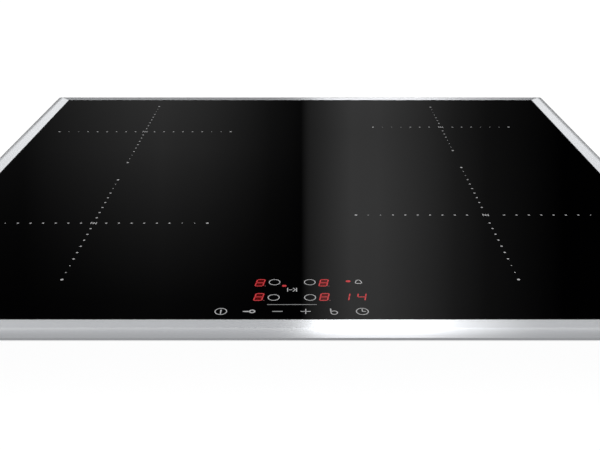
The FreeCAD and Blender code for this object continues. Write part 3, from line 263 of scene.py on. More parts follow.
def make_speckle_group():
    """Moulded or cast surface: cloudy colour, fine grains and a little uneven gloss."""
    wires, given, result = new_group(
        "Fine speckle",
        [("Colour", "Color", (0.5, 0.5, 0.5)), ("Second colour", "Color", (0.4, 0.4, 0.4)),
         ("Scale", "Float", 500.0), ("Roughness", "Float", 0.5), ("Variation", "Float", 0.1)],
        [("Colour", "Color"), ("Roughness", "Float"), ("Height", "Float")],
    )
    place = wires.place()
    fine = wires.noise(place, given["Scale"], 3.0, 0.6)
    cloud = wires.noise(place, wires.math("MULTIPLY", given["Scale"], 0.04), 2.0)
    share = wires.math("ADD", wires.math("MULTIPLY", fine, 0.6), wires.math("MULTIPLY", cloud, 0.4))
    mixed = wires.blend(wires.between(share, 0.35, 0.65), given["Colour"], given["Second colour"])
    wires.feed(result["Colour"], mixed)
    swing = wires.math("SUBTRACT", share, 0.5)
    gloss = wires.math("MULTIPLY_ADD", swing, given["Variation"], given["Roughness"])
    wires.feed(result["Roughness"], gloss)
    wires.feed(result["Height"], fine)


def make_spangle_group():
    """Galvanised sheet: crystal patches a few millimetres across, each with its own tone."""
    wires, given, result = new_group(
        "Zinc spangle",
        [("Colour", "Color", (0.55, 0.57, 0.6)), ("Size", "Float", 0.006), ("Roughness", "Float", 0.4)],
        [("Colour", "Color"), ("Roughness", "Float"), ("Height", "Float")],
    )
    place = wires.place()
    warp = wires.node("TexNoise", Vector=place, Scale=160.0, Detail=2.0).outputs["Color"]
    bent = wires.vector("ADD", place, wires.vector("MULTIPLY", warp, (0.003, 0.003, 0.003)))
    cells = wires.node("TexVoronoi", Vector=bent, Scale=wires.math("DIVIDE", 1.0, given["Size"]))
    tone = wires.node("SeparateColor", Color=cells.outputs["Color"]).outputs[0]
    shade = wires.between(tone, 0.0, 1.0, 0.8, 1.12, smooth=False)
    wires.feed(result["Colour"], wires.shaded(given["Colour"], shade))
    swing = wires.math("SUBTRACT", tone, 0.5)
    wires.feed(result["Roughness"], wires.math("MULTIPLY_ADD", swing, 0.22, given["Roughness"]))
    wires.feed(result["Height"], wires.math("ADD", tone, wires.noise(place, 900.0, 2.0)))


def place_group(wires, name, **inputs):
    made = wires.node("Group", {"node_tree": bpy.data.node_groups[name]})
    for label, value in inputs.items():
        wires.feed(made.inputs[label.replace("_", " ")], value)
    return made.outputs


def new_material(name, **shader_values):
    """A material with one Principled shader and its plain values."""
    material = bpy.data.materials.new(name)
    material.use_nodes = True
    material.node_tree.nodes.clear()
    wires = Wires(material.node_tree)
    shader = wires.node("BsdfPrincipled")
    for label, value in shader_values.items():
        wires.feed(shader.inputs[label.replace("_", " ")], value)
    wires.node("OutputMaterial", Surface=shader.outputs[0])
    return material, wires, shader


def wire_finish(wires, shader, outputs, bump, distance=RELIEF):
    """Joins a shared effect's colour, roughness and height to the shader."""
    wires.feed(shader.inputs["Base Color"], outputs["Colour"])
    wires.feed(shader.inputs["Roughness"], outputs["Roughness"])
    relief = wires.node("Bump", Strength=bump, Distance=distance, Height=outputs["Height"])
    wires.feed(shader.inputs["Normal"], relief.outputs[0])


def speckled(name, colour, second, scale, roughness, variation=0.15, bump=0.2, distance=RELIEF, **plain):
    material, wires, shader = new_material(name, **plain)
    finish = place_group(wires, "Fine speckle", Colour=colour, Second_colour=second, Scale=scale,
                         Roughness=roughness, Variation=variation)
    wire_finish(wires, shader, finish, bump, distance)
    return material


def brushed(name, colour, stretch, roughness, variation, bump, across=None, anisotropy=0.0):
    """Metal with a grain; across is the direction over the grain."""
    material, wires, shader = new_material(name, Metallic=1.0, Anisotropic=anisotropy)
    finish = place_group(wires, "Brushed grain", Colour=colour, Stretch=stretch, Roughness=roughness,
                         Variation=variation)
    wire_finish(wires, shader, finish, bump, 0.00005)
    if across:
        direction = wires.node("CombineXYZ", X=across[0], Y=across[1], Z=across[2])
        wires.feed(shader.inputs["Tangent"], direction.outputs[0])
    return material


def dress(nodes, *materials):
    """Gives CAD nodes their finish."""
    for name in nodes:
        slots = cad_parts[name].data.materials
        slots.clear()
        for material in materials:
            slots.append(material)


# ---- meshes ------------------------------


SHARPEST_MITRE = 0.35  # least cosine at a bend, so that sharp bends don't grow spikes


class FlatPrint:
    """Collects flat outlines, in millimetres, that make up one printed or lit mark."""

    def __init__(self, x=0.0, y=0.0, lean=0.0):
        self.x, self.y, self.lean = x, y, lean
        self.bm = bmesh.new()

    def spot(self, x, y, height):
        return self.bm.verts.new(((self.x + x + self.lean * y) * MM, (self.y + y) * MM, height))

    def fill(self, outline):
        """A closed outline given anticlockwise."""
        base = [self.spot(x, y, 0.0) for x, y in outline]
        cap = [self.spot(x, y, 1.0) for x, y in outline]
        self.bm.faces.new(cap)
        self.bm.faces.new(list(reversed(base)))
        for i in range(len(outline)):
            self.bm.faces.new((base[i - 1], base[i], cap[i], cap[i - 1]))

    def disc(self, x, y, diameter, steps=24):
        self.fill([(x + diameter / 2 * math.cos(2 * math.pi * i / steps),
                    y + diameter / 2 * math.sin(2 * math.pi * i / steps)) for i in range(steps)])

    def oval(self, long, wide, steps=12):
        """Two half circles and the straight sides between them."""
        outline = []
        for end in (1, -1):
            for i in range(steps + 1):
                angle = math.pi * (i / steps - 0.5)
                outline.append((end * ((long - wide) + wide * math.cos(angle)) / 2,
                                end * wide / 2 * math.sin(angle)))
        self.fill(outline)

    def ring(self, x, y, diameter, width, steps=48):
        """A round band; diameter is taken at its middle."""
        rows = []
        for i in range(steps):
            angle = 2 * math.pi * i / steps
            row = []
            for edge, height in ((-1, 0.0), (1, 0.0), (1, 1.0), (-1, 1.0)):
                reach = (diameter + edge * width) / 2
                row.append(self.spot(x + reach * math.cos(angle), y + reach * math.sin(angle), height))
            rows.append(row)
        for first, second in zip(rows, rows[1:] + rows[:1]):
            for k in range(4):
                self.bm.faces.new((first[k], second[k], second[k - 3], first[k - 3]))

    def line(self, points, width, end_width):
        """A band along the points, mitred at the bends."""
        left, right = [], []
        for i, (x, y) in enumerate(points):
            before = Vector(points[max(i - 1, 0)])
            after = Vector(points[min(i + 1, len(points) - 1)])
            here = Vector((x, y))
            into = (here - before).normalized() if i else (after - here).normalized()
            out = (after - here).normalized() if i < len(points) - 1 else into
            side = Vector((-(into + out).y, (into + out).x)).normalized()
            share = i / (len(points) - 1)
            reach = (width * (1 - share) + end_width * share) / 2
            reach /= max(SHARPEST_MITRE, side.dot(Vector((-into.y, into.x))))
            left.append((x + side.x * reach, y + side.y * reach))
            right.append((x - side.x * reach, y - side.y * reach))
        self.fill(right + list(reversed(left)))

    def finish(self, name, material, thickness):
        """The mark as a piece on the glass that rides on the hob."""
        for vertex in self.bm.verts:
            vertex.co.z = GLASS_HIGH.z + vertex.co.z * thickness
        bmesh.ops.recalc_face_normals(self.bm, faces=self.bm.faces)
        return new_piece(name, self.bm, material, "hob")


def new_piece(name, bm, material, body, smooth=False):
    mesh = bpy.data.meshes.new(name)
    bm.to_mesh(mesh)
    bm.free()
    mesh.materials.append(material)
    for face in mesh.polygons:
        face.use_smooth = smooth
    made = bpy.data.objects.new(name, mesh)
    bpy.context.scene.collection.objects.link(made)
    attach(made, body)
    return made


def islands(node):
    """Lowest and highest corner of each separate part of a CAD node."""
    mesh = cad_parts[node].data
    parent = list(range(len(mesh.vertices)))

    def top(i):
        while parent[i] != i:
            parent[i] = parent[parent[i]]
            i = parent[i]
        return i

    places = {}
    for vertex in mesh.vertices:
        key = tuple(round(c * 1e6) for c in vertex.co)
        parent[vertex.index] = top(places.setdefault(key, vertex.index))
    for edge in mesh.edges:
        first, second = top(edge.vertices[0]), top(edge.vertices[1])
        parent[second] = first
    groups = {}
    for vertex in mesh.vertices:
        groups.setdefault(top(vertex.index), []).append(vertex.co)
    found = []
    for points in groups.values():
        low = Vector(min(p[k] for p in points) for k in range(3))
        high = Vector(max(p[k] for p in points) for k in range(3))
        found.append((low, high))
    return sorted(found, key=lambda b: tuple(b[0]))


def sweep(bm, rows):
    """A closed tube through rows of points, capped at both ends."""
    rings = [[bm.verts.new(point) for point in row] for row in rows]
    count = len(rings[0])
    for first, second in zip(rings, rings[1:]):
        for k in range(count):
            bm.faces.new((first[k - 1], first[k], second[k], second[k - 1]))
    bm.faces.new(list(reversed(rings[0])))
    bm.faces.new(rings[-1])
    bmesh.ops.recalc_face_normals(bm, faces=bm.faces)


# ---- glass and trims ---------------------


class HOB_OT_glass(bpy.types.Operator):
    """Polished black glass ceramic in its bed of silicone"""

    bl_idname = "hob.glass"
    bl_label = "Glass and seal"

    def execute(self, context):
        chosen = context.scene.hob_glass
        material, wires, shader = new_material("black_glass_ceramic", IOR=1.5)
        place = wires.place()
        grains = wires.noise(place, 2600.0, 2.0)
        deep = wires.blend(grains, chosen.glass_colour, tuple(2.4 * c for c in chosen.glass_colour))
        wires.feed(shader.inputs["Base Color"], deep)
        haze = wires.noise(place, 9.0, 3.0, 0.6)
        polish = chosen.glass_roughness
        wires.feed(shader.inputs["Roughness"], wires.between(haze, 0.35, 0.7, polish, polish + 0.02))
        relief = wires.node("Bump", Strength=0.02, Distance=RELIEF, Height=wires.noise(place, 30.0, 1.0))
        wires.feed(shader.inputs["Normal"], relief.outputs[0])
        dress(["glass_ceramic_top"], material)
        silicone = speckled("black_silicone_joint", (0.008, 0.008, 0.009), (0.014, 0.014, 0.015), 1800.0,
                            0.46, bump=0.15)
        dress(["glass_seal"], silicone)
        return {"FINISHED"}


class HOB_OT_trims(bpy.types.Operator):
    """Brushed steel trims, each with its grain along its own length"""

    bl_idname = "hob.trims"
    bl_label = "Steel trims"

    def execute(self, context):
        chosen = context.scene.hob_metal
        along, over = 14.0, 4200.0  # grain lines to the metre
        for direction, nodes, stretch, across in (
            ("lengthwise", ("trim_front", "trim_rear"), (along, over, over), (0.0, 1.0, 0.0)),
            ("depthwise", ("trim_left", "trim_right"), (over, along, over), (1.0, 0.0, 0.0)),
        ):
            steel = brushed(f"brushed_steel_{direction}", chosen.steel_colour, stretch,
                            chosen.steel_roughness, 0.08, 0.1, across, 1.0)
            dress(nodes, steel)
        return {"FINISHED"}


# ---- prints ------------------------------


CARRIER_INSET = 2  # zone edge to the coil carrier's edge
SIGN_LINE = 0.62  # line of the sign in a cross's middle
CLEAR_MIDDLE = 6  # no dots nearer to a cross's middle than this
SMALL_ZONE = 80  # radius of a zone, below which three dots are faint and not two


def print_material(name, colour):
    return speckled(name, colour, tuple(0.86 * c for c in colour), 2400.0, 0.42, bump=0.08)


class HOB_OT_zone_marks(bpy.types.Operator):
    """Dotted crosses with a small sign in the middle, printed over each winding"""

    bl_idname = "hob.zone_marks"
    bl_label = "Zone marks"

    def execute(self, context):
        chosen = context.scene.hob_glass
        bright = print_material("zone_print", chosen.print_colour)
        for zone in ZONES:
            low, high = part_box(f"coil_carrier_{zone}")
            middle = (low + high) / 2
            radius = (high.x - low.x) / 2 / MM + CARRIER_INSET
            faint_count = 3 if radius < SMALL_ZONE else 2
            mark = FlatPrint(middle.x / MM, middle.y / MM)
            for step in range(int(radius * MM / chosen.dot_pitch - 0.2) + 1):
                reach = radius - step * chosen.dot_pitch / MM
                if reach < CLEAR_MIDDLE:
                    break
                size = chosen.faint_dot if step <= faint_count else chosen.dot
                if not step:
                    size = chosen.end_dot
                for x, y in ((reach, 0), (-reach, 0), (0, reach), (0, -reach)):
                    mark.disc(x, y, size / MM)
            mark.line([(-2.1, -1.6), (-2.1, 1.6), (0, -1.0), (0.0, 1.1), (2.1, -1.6), (2.1, 1.6)],
                      SIGN_LINE, SIGN_LINE)
            mark.finish(f"zone_marks_{zone}", bright, chosen.print_height)
        return {"FINISHED"}


PANEL_X, PANEL_Y = -4.9, GLASS_LOW.y / MM
KEY_ROW, KEY_PITCH, LINE_ROW = 9.2, 18.08, 17.5
FRONT_ROW, REAR_ROW = 26.4, 46.5


def panel_mark(x, y, lean=0.0):
    """A mark at x from the panel's middle line and y from the glass's front edge."""
    return FlatPrint(PANEL_X + x, PANEL_Y + y, lean)


# Symbols in millimetres: rings as (x, y, diameter, width) and lines as (width, end width, points).
# The widths are multiples of the setting for a symbol's lines.
RINGS = {
    "power": (0, 0, 7.4, 1), "key": (1.9, 0.05, 3.2, 1.6), "boost": (0.05, -1.45, 4.1, 1.1),
    "clock": (0, 0, 7.6, 1), "zone": (0, 0, 7.3, 1),
}
LINES = {
    "power": [(1.6, 1, [(0, 2.1), (0, -3.1)])],
    "key": [(1.6, 2.4, [(-4, 0), (-1.9, -0.1), (0.1, -0.1)])],
    "minus": [(1.5, 1.5, [(-3.35, 0), (3.35, 0)])],
    "plus": [(1, 1, [(-3.3, 0), (3.3, 0)]), (1.1, 1.1, [(0, -3), (0, 3)])],
    "boost": [(1.3, 1.3, [(-2.1, 3.4), (-1.95, -1.2)])],
    "clock": [(1, 1, [(0, 3), (0, 0), (2.2, 0)])],
    "underline": [(1, 1, [(-16.05, 0), (16.05, 0)])],
    "transfer": [(1, 1, [(-3, -2.5), (-3, 2.5)]), (1, 1, [(3, -2.5), (3, 2.5)]),
                 (1, 1, [(-2.3, 0), (0.1, 0)]), (1, 1, [(0.5, 2.3), (2.2, 0), (0.5, -2.3)])],
    "bell": [(1.1, 1.1, [(-2.1, -1.2), (-1.95, 0.4), (-1.5, 1.9), (-0.8, 2.8), (0, 3.1), (0.8, 2.8),
                         (1.5, 1.9), (1.95, 0.4), (2.1, -1.2)]),
             (1.3, 1.3, [(-1.9, -1.2), (-1.1, -1.7), (1.1, -1.7), (1.9, -1.2)])],
    "zone": [],
}
KEYS = ("power", "key", "minus", "plus", "boost", "clock")
WEAK_SYMBOLS = ("minus", "underline")
OTHER_SYMBOLS = (("underline", "underline", 0.15, LINE_ROW), ("transfer", "transfer", 0.05, 36.4),
                 ("bell", "bell", 45.2, REAR_ROW),
                 ("zone_front_left", "zone", -12, FRONT_ROW), ("zone_rear_left", "zone", -12, REAR_ROW),
                 ("zone_front_right", "zone", 12, FRONT_ROW), ("zone_rear_right", "zone", 12, REAR_ROW))


class HOB_OT_touch_symbols(bpy.types.Operator):
    """Symbols of the touch control, printed on the glass above their sensor pads"""

    bl_idname = "hob.touch_symbols"
    bl_label = "Touch symbols"

    def execute(self, context):
        chosen = context.scene.hob_glass
        thin = chosen.line / MM
        bright = print_material("symbol_print", chosen.print_colour)
        dim = print_material("dim_symbol_print", chosen.dim_print_colour)
        row = [(key, key, (place - 2.5) * KEY_PITCH, KEY_ROW) for place, key in enumerate(KEYS)]
        for name, symbol, x, y in (*row, *OTHER_SYMBOLS):
            mark = panel_mark(x, y)
            for width, end_width, points in LINES[symbol]:
                mark.line(points, width * thin, end_width * thin)
            if symbol in RINGS:
                across, up, diameter, width = RINGS[symbol]
                mark.ring(across, up, diameter, width * thin)
            mark.finish(f"symbol_{name}", dim if symbol in WEAK_SYMBOLS else bright, chosen.print_height)
        return {"FINISHED"}


SEGMENTS = {
    "top": ((-1, 2), (1, 2)), "middle": ((-1, 0), (1, 0)), "bottom": ((-1, -2), (1, -2)),
    "upper_left": ((-1, 2), (-1, 0)), "upper_right": ((1, 2), (1, 0)),
    "lower_left": ((-1, 0), (-1, -2)), "lower_right": ((1, 0), (1, -2)),
}
FIGURES = {
    "8": tuple(SEGMENTS),
    "1": ("upper_right", "lower_right"),
    "4": ("upper_left", "upper_right", "middle", "lower_right"),
}


SEGMENT_GAP = 0.12
DIM_SHARE = 0.22  # light of a digit's point, to the digit's
GLOW_REACH = (0.64, 0.62)  # how far the glow goes, to the digit's width and height


def draw_figure(mark, figure, width, height, line):
    """One figure of straight bars with pointed ends."""
    half_x, half_y = (width - line) / 2, (height - line) / 4
    for name in FIGURES[figure]:
        (x0, y0), (x1, y1) = SEGMENTS[name]
        a, b = Vector((x0 * half_x, y0 * half_y)), Vector((x1 * half_x, y1 * half_y))
        run = (b - a).normalized()
        side = Vector((-run.y, run.x)) * line / 2
        a, b = a + run * SEGMENT_GAP, b - run * SEGMENT_GAP
        inner = run * line / 2
        outline = [a, a + inner - side, b - inner - side, b, b - inner + side, a + inner + side]
        mark.fill([tuple(p) for p in outline])


class HOB_OT_displays(bpy.types.Operator):
    """Red digits and lamps that shine through the glass"""

    bl_idname = "hob.displays"
    bl_label = "Digits and lamps"

    def execute(self, context):
        chosen = context.scene.hob_display
        thickness = context.scene.hob_glass.print_height
        lit, wires, shader = new_material("red_display_light", Roughness=0.3, Specular_IOR_Level=0.25,
                                          Emission_Strength=1.0)
        wires.feed(shader.inputs["Base Color"], (0.02, 0.0, 0.0))
        flicker = wires.noise(wires.place(), 700.0, 1.0)
        glow = wires.blend(flicker, tuple(0.88 * c for c in chosen.digit_colour), chosen.digit_colour)
        wires.feed(shader.inputs["Emission Color"], glow)
        width, height = chosen.digit_width / MM, chosen.digit_height / MM
        rear, front = REAR_ROW - 0.8, FRONT_ROW + 0.7
        places = [("rear_left", "8", -21.8, rear), ("rear_right", "8", 21.45, rear),
                  ("front_left", "8", -21.8, front), ("front_right", "8", 21.45, front),
                  ("timer_tens", "1", 35.3, front), ("timer_units", "4", 46.0, front)]
        for name, figure, x, y in places:
            mark = panel_mark(x, y, chosen.digit_slant)
            draw_figure(mark, figure, width, height, chosen.digit_line / MM)
            mark.finish(f"digit_{name}", lit, thickness)
        dim, wires, shader = new_material("dim_display_light", Roughness=0.3, Emission_Strength=1.0)
        wires.feed(shader.inputs["Base Color"], (0.01, 0.0, 0.0))
        weak = tuple(DIM_SHARE * c for c in chosen.digit_colour)
        flicker = wires.noise(wires.place(), 700.0, 1.0)
        glow = wires.blend(flicker, weak, tuple(0.7 * c for c in weak))
        wires.feed(shader.inputs["Emission Color"], glow)
        for name, figure, x, y in places[:4]:
            mark = panel_mark(x, y, chosen.digit_slant)
            mark.disc(width / 2 + 1.1, -height / 2 + 0.5, 0.9)
            mark.finish(f"digit_point_{name}", dim, thickness)
        lamps = (("timer", 38.2, 47.8, 3.3, 2.6), ("transfer", -5.3, 41.6, 3.1, 2.4))
        for name, x, y, long, wide in lamps:
            mark = panel_mark(x, y)
            mark.oval(long, wide)
            mark.finish(f"lamp_{name}", lit, thickness)
        self.glows(chosen, places, width, height, thickness)
        return {"FINISHED"}

    def glows(self, chosen, places, width, height, thickness):
        """Weak red light in the glass round each digit, fading outwards."""
        reach_x, reach_y = (share * size for share, size in zip(GLOW_REACH, (width, height)))
        for name, _, x, y in places[:4]:
            material, wires, shader = new_material(f"red_glow_{name}", Roughness=0.05, IOR=1.5,
                                                   Emission_Strength=1.0)
            wires.feed(shader.inputs["Base Color"], (0.0011, 0.0011, 0.0013))
            centre = ((PANEL_X + x) * MM, (PANEL_Y + y) * MM, GLASS_HIGH.z)
            away = wires.vector("SUBTRACT", wires.place(), centre)
            scaled = wires.vector("MULTIPLY", away, (1 / (reach_x * MM), 1 / (reach_y * MM), 0))
            distance = wires.node("VectorMath", {"operation": "LENGTH"})
            wires.feed(distance.inputs[0], scaled)
            fade = wires.between(distance.outputs["Value"], 0.45, 1.0, 1.0, 0.0)
            glow = wires.blend(fade, (0.0, 0.0, 0.0), chosen.glow_colour)
            wires.feed(shader.inputs["Emission Color"], glow)
            mark = panel_mark(x, y)
            steps = [2 * math.pi * i / 40 for i in range(40)]
            mark.fill([(reach_x * math.cos(step), reach_y * math.sin(step)) for step in steps])
            mark.finish(f"digit_glow_{name}", material, thickness / 3)


# ---- wound parts -------------------------


WINDING_EYE = 0.0185  # inner radius of a winding
WIRE_SHARE = 0.47  # radius of the litz wire, to the pitch of its turns
STRAND_DEPTH = 0.07  # how far the hollows between strands go in, to the wire's radius
END_TURN = 0.8  # flat turns at each end of a coil spring


class HOB_OT_windings(bpy.types.Operator):
    """Flat spirals of litz wire, one for each cooking zone"""

    bl_idname = "hob.windings"
    bl_label = "Litz windings"

    def execute(self, context):
        chosen = context.scene.hob_metal
        copper, wires, shader = new_material("varnished_litz_copper", Metallic=0.85, Coat_Weight=0.5,
                                             Coat_Roughness=0.2)
        finish = place_group(wires, "Fine speckle", Colour=chosen.copper_colour,
                             Second_colour=tuple(0.6 * c for c in chosen.copper_colour), Scale=1600.0,
                             Roughness=0.34, Variation=0.2)
        wire_finish(wires, shader, finish, 0.3)
        sides, strands, steps = 10, 5, 44
        for zone in ZONES:
            node = f"winding_{zone}"
            low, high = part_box(node)
            middle, outer = (low + high) / 2, (high.x - low.x) / 2
            wire, tall = chosen.litz_pitch * WIRE_SHARE, (high.z - low.z) / 2
            width = outer - WINDING_EYE - 2 * wire
            turns = int(width / chosen.litz_pitch)
            rows = []
            for i in range(turns * steps + 1):
                turn = i / steps
                angle, radius = 2 * math.pi * turn, WINDING_EYE + wire + width / turns * turn
                outwards = Vector((math.cos(angle), math.sin(angle), 0))
                row = []
                for k in range(sides):
                    around = 2 * math.pi * k / sides
                    swell = 1 - STRAND_DEPTH * (1 + math.cos(strands * around + 3 * angle)) / 2
                    reach = wire * swell * math.cos(around)
                    row.append(middle + outwards * (radius + reach)
                               + Vector((0, 0, tall * swell * math.sin(around))))
                rows.append(row)
            bm = bmesh.new()
            sweep(bm, rows)
            made = new_piece(f"litz_spiral_{zone}", bm, copper, f"coil_unit_{zone}", smooth=True)
            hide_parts(node)
        return {"FINISHED"}


class HOB_OT_springs(bpy.types.Operator):
    """Coil springs that press each winding up against the glass"""

    bl_idname = "hob.springs"
    bl_label = "Coil springs"

    def execute(self, context):
        chosen = context.scene.hob_metal
        steel = brushed("spring_steel", (0.5, 0.5, 0.52), (900.0, 900.0, 900.0), 0.32, 0.2, 0.1)
        sides, steps = 8, 20
        thick = chosen.spring_wire / 2
        for zone in ZONES:
            node = f"coil_springs_{zone}"
            bm = bmesh.new()
            for low, high in islands(node):
                middle, radius = (low + high) / 2, (high.x - low.x) / 2 - thick
                count = chosen.spring_turns * steps
                rows = []
                for i in range(count + 1):
                    angle = 2 * math.pi * i / steps
                    share = i / count
                    lift = (share * chosen.spring_turns - END_TURN) / (chosen.spring_turns - 2 * END_TURN)
                    lift = min(1, max(0, lift))
                    height = low.z + thick + (high.z - low.z - 2 * thick) * lift
                    outwards = Vector((math.cos(angle), math.sin(angle), 0))
                    centre = Vector((middle.x, middle.y, height)) + outwards * radius
                    rows.append([centre + outwards * (thick * math.cos(2 * math.pi * k / sides))
                                 + Vector((0, 0, thick * math.sin(2 * math.pi * k / sides)))
                                 for k in range(sides)])
                sweep(bm, rows)
            made = new_piece(f"wire_springs_{zone}", bm, steel, "hob", smooth=True)
            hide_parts(node)
            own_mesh(made)
        return {"FINISHED"}


# ---- case and inner parts ----------------


def spangled(name, colour, size, roughness):
    material, wires, shader = new_material(name, Metallic=0.92)
    finish = place_group(wires, "Zinc spangle", Colour=colour, Size=size, Roughness=roughness)
    wire_finish(wires, shader, finish, 0.12, 0.0001)
    return material


class HOB_OT_case(bpy.types.Operator):
    """Galvanised tray with its screws, clamps, gasket, terminal box and cable bush"""

    bl_idname = "hob.case"
    bl_label = "Case and fittings"

    def execute(self, context):
        chosen = context.scene.hob_metal
        dress(["base_tray"], spangled("galvanised_case_sheet", chosen.zinc_colour, 0.007, 0.42))
        plated = spangled("zinc_plated_steel", (0.6, 0.61, 0.6), 0.0016, 0.34)
        dress([f"clamp_{corner}" for corner in CORNERS] + ["clamp_nuts", "clamp_screws", "case_screws",
              "terminal_hinge", "plate_posts"], plated)
        dress(["worktop_gasket"], speckled("grey_sealing_foam", (0.11, 0.11, 0.115), (0.045, 0.045, 0.05),
                                           900.0, 0.92, bump=0.8, distance=0.0006))
        black = speckled("black_moulded_plastic", (0.02, 0.02, 0.022), (0.028, 0.028, 0.03), 1500.0, 0.5,
                         bump=0.25)
        dress(["terminal_housing", "cable_bush", "terminal_cover"], black)
        white = speckled("white_terminal_plastic", (0.72, 0.71, 0.67), (0.64, 0.63, 0.6), 1200.0, 0.4,
                         bump=0.12)
        dress(["terminal_block"], white)
        return {"FINISHED"}


class HOB_OT_inner_parts(bpy.types.Operator):
    """Coil plates, blowers, boards, heat sinks, leads and the touch control's inner parts"""

    bl_idname = "hob.inner_parts"
    bl_label = "Inner parts"

    def execute(self, context):
        chosen = context.scene.hob_metal
        sheet = brushed("rolled_aluminium", chosen.aluminium_colour, (2500.0, 30.0, 2500.0), 0.36,
                        0.16, 0.1)
        dress(["coil_plate_left", "coil_plate_right", "heat_sink_left", "heat_sink_right"], sheet)
        carrier = speckled("carrier_plastic", (0.05, 0.05, 0.053), (0.035, 0.035, 0.037), 1100.0, 0.5)
        dress([f"coil_carrier_{zone}" for zone in ZONES] + ["touch_board_carrier"], carrier)
        ferrite = speckled("pressed_ferrite", (0.05, 0.05, 0.055), (0.022, 0.022, 0.025), 2600.0, 0.58,
                           bump=0.4)
        dress([f"ferrite_bars_{zone}" for zone in ZONES], ferrite)
        mica = speckled("mica_sheet", (0.42, 0.34, 0.22), (0.6, 0.52, 0.38), 320.0, 0.4, variation=0.3)
        dress(["mica_discs"], mica)
        fans = speckled("blower_plastic", (0.017, 0.017, 0.018), (0.026, 0.026, 0.027), 900.0, 0.42)
        dress([f"blower_{part}_{side}" for part in ("housing", "wheel") for side in SIDES], fans)
        dress(["power_board_left", "power_board_right", "filter_board", "touch_board"], self.board())
        self.dress_components(["power_board_parts_left", "power_board_parts_right", "filter_board_parts"])
        nylon = speckled("standoff_nylon", (0.7, 0.7, 0.66), (0.62, 0.62, 0.58), 1500.0, 0.45)
        dress(["board_standoffs"], nylon)
        pale = speckled("display_plastic", (0.3, 0.3, 0.3), (0.24, 0.24, 0.24), 1500.0, 0.35)
        dress(["display_blocks"], pale)
        foam = speckled("conductive_key_foam", (0.03, 0.03, 0.032), (0.06, 0.06, 0.062), 1400.0, 0.9,
                        bump=0.6)
        dress(["touch_key_pads"], foam)
        cap = speckled("sensor_cap_metal", (0.7, 0.66, 0.6), (0.55, 0.52, 0.47), 1300.0, 0.3, Metallic=0.9)
        dress(["zone_sensors"], cap)
        sleeve = speckled("silicone_wire_sleeve", (0.32, 0.31, 0.3), (0.25, 0.24, 0.235), 1400.0, 0.55)
        dress(["leads"], sleeve)
        return {"FINISHED"}

    def board(self):
        """Green solder mask over copper tracks, with tinned pads."""
        material, wires, shader = new_material("printed_board", Coat_Weight=0.4, Coat_Roughness=0.18)
        place = wires.place()
        tracks = wires.node("TexBrick", Vector=place, Scale=110.0, Color1=(0.012, 0.09, 0.03),
                            Color2=(0.016, 0.11, 0.04), Mortar=(0.05, 0.19, 0.07))
        wires.feed(tracks.inputs["Mortar Size"], 0.035)
        pads = wires.node("TexVoronoi", Vector=place, Scale=190.0).outputs["Distance"]
        tinned = wires.between(pads, 0.16, 0.2, 1.0, 0.0)
        face = wires.blend(tinned, tracks.outputs["Color"], (0.62, 0.62, 0.6))
        wires.feed(shader.inputs["Base Color"], face)
        wires.feed(shader.inputs["Metallic"], tinned)
        gloss = wires.between(wires.noise(place, 400.0), 0.3, 0.7, 0.3, 0.42)
        wires.feed(shader.inputs["Roughness"], gloss)
        relief = wires.node("Bump", Strength=0.3, Distance=0.0001, Height=tinned)
        wires.feed(shader.inputs["Normal"], relief.outputs[0])
        return material

    def dress_components(self, nodes):
        """The parts soldered to a board take the three finishes in turn."""
        finishes = (
            speckled("capacitor_sleeve", (0.02, 0.03, 0.09), (0.03, 0.04, 0.12), 900.0, 0.35),
            speckled("black_epoxy", (0.012, 0.012, 0.013), (0.02, 0.02, 0.021), 1600.0, 0.5),
            speckled("choke_resin", (0.5, 0.42, 0.1), (0.42, 0.34, 0.08), 900.0, 0.45),
        )
        for node in nodes:
            dress([node], *finishes)
            boxes = islands(node)
            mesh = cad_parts[node].data
            for face in mesh.polygons:
                spot = mesh.vertices[face.vertices[0]].co
                for place, (low, high) in enumerate(boxes):
                    if all(low[k] - 1e-6 <= spot[k] <= high[k] + 1e-6 for k in range(3)):
                        face.material_index = place % len(finishes)
                        break


# ---- stage -------------------------------


# The studio's soft lights, each with the few stops that its shape needs. The bands and their fades go
# by slope: (across, level) and (up, share). The upper wall goes by the ray's own direction.
WALL_LEVEL = 5.0
LEFT_BAND = ((-0.36, 0.02), (-0.22, 0.1), (-0.18, 0.115), (-0.13, 0.09), (-0.04, 0.025), (0.03, 0.0))
LEFT_FADE = ((-0.2, 1.0), (-0.1, 1.0), (0.1, 0.2), (0.16, 0.12))
RIGHT_BAND = ((0.0, 0.0), (0.01, 0.12), (0.065, 0.4), (0.1, 0.39), (0.2, 0.11), (0.24, 0.05), (0.34, 0.0))
RIGHT_GAIN = ((-0.2, 0.38), (-0.12, 0.45), (0.0, 0.75), (0.1, 0.93), (0.16, 0.93))
UPPER_WALL = ((-0.6, 0.0), (-0.45, 0.3), (0.005, 0.3), (0.02, 1.0), (0.15, 1.0), (0.2, 0.58), (0.28, 0.3),
              (0.45, 0.26), (0.6, 0.0))
WALL_FADE = ((0.5, 1.1), (0.6, 1.1), (0.75, 0.48), (0.9, 0.4), (1.0, 0.38))

FLOOR_REACH = 12.0
TRIM_LIGHT_SIZE = (1.7, 0.9)
TRIM_LIGHT_WAY = (0.3, 0.95, 0.33)  # from the right trim towards its light
TRIM_LIGHT_RANGE = 3
TRIM_X, TRIM_Z = 0.28, 0.05  # middle of a side trim
CAMERA_PLACE = (0.0012, -0.6505, 0.3142)
SENSOR, SHIFT = 36.0, -0.0019


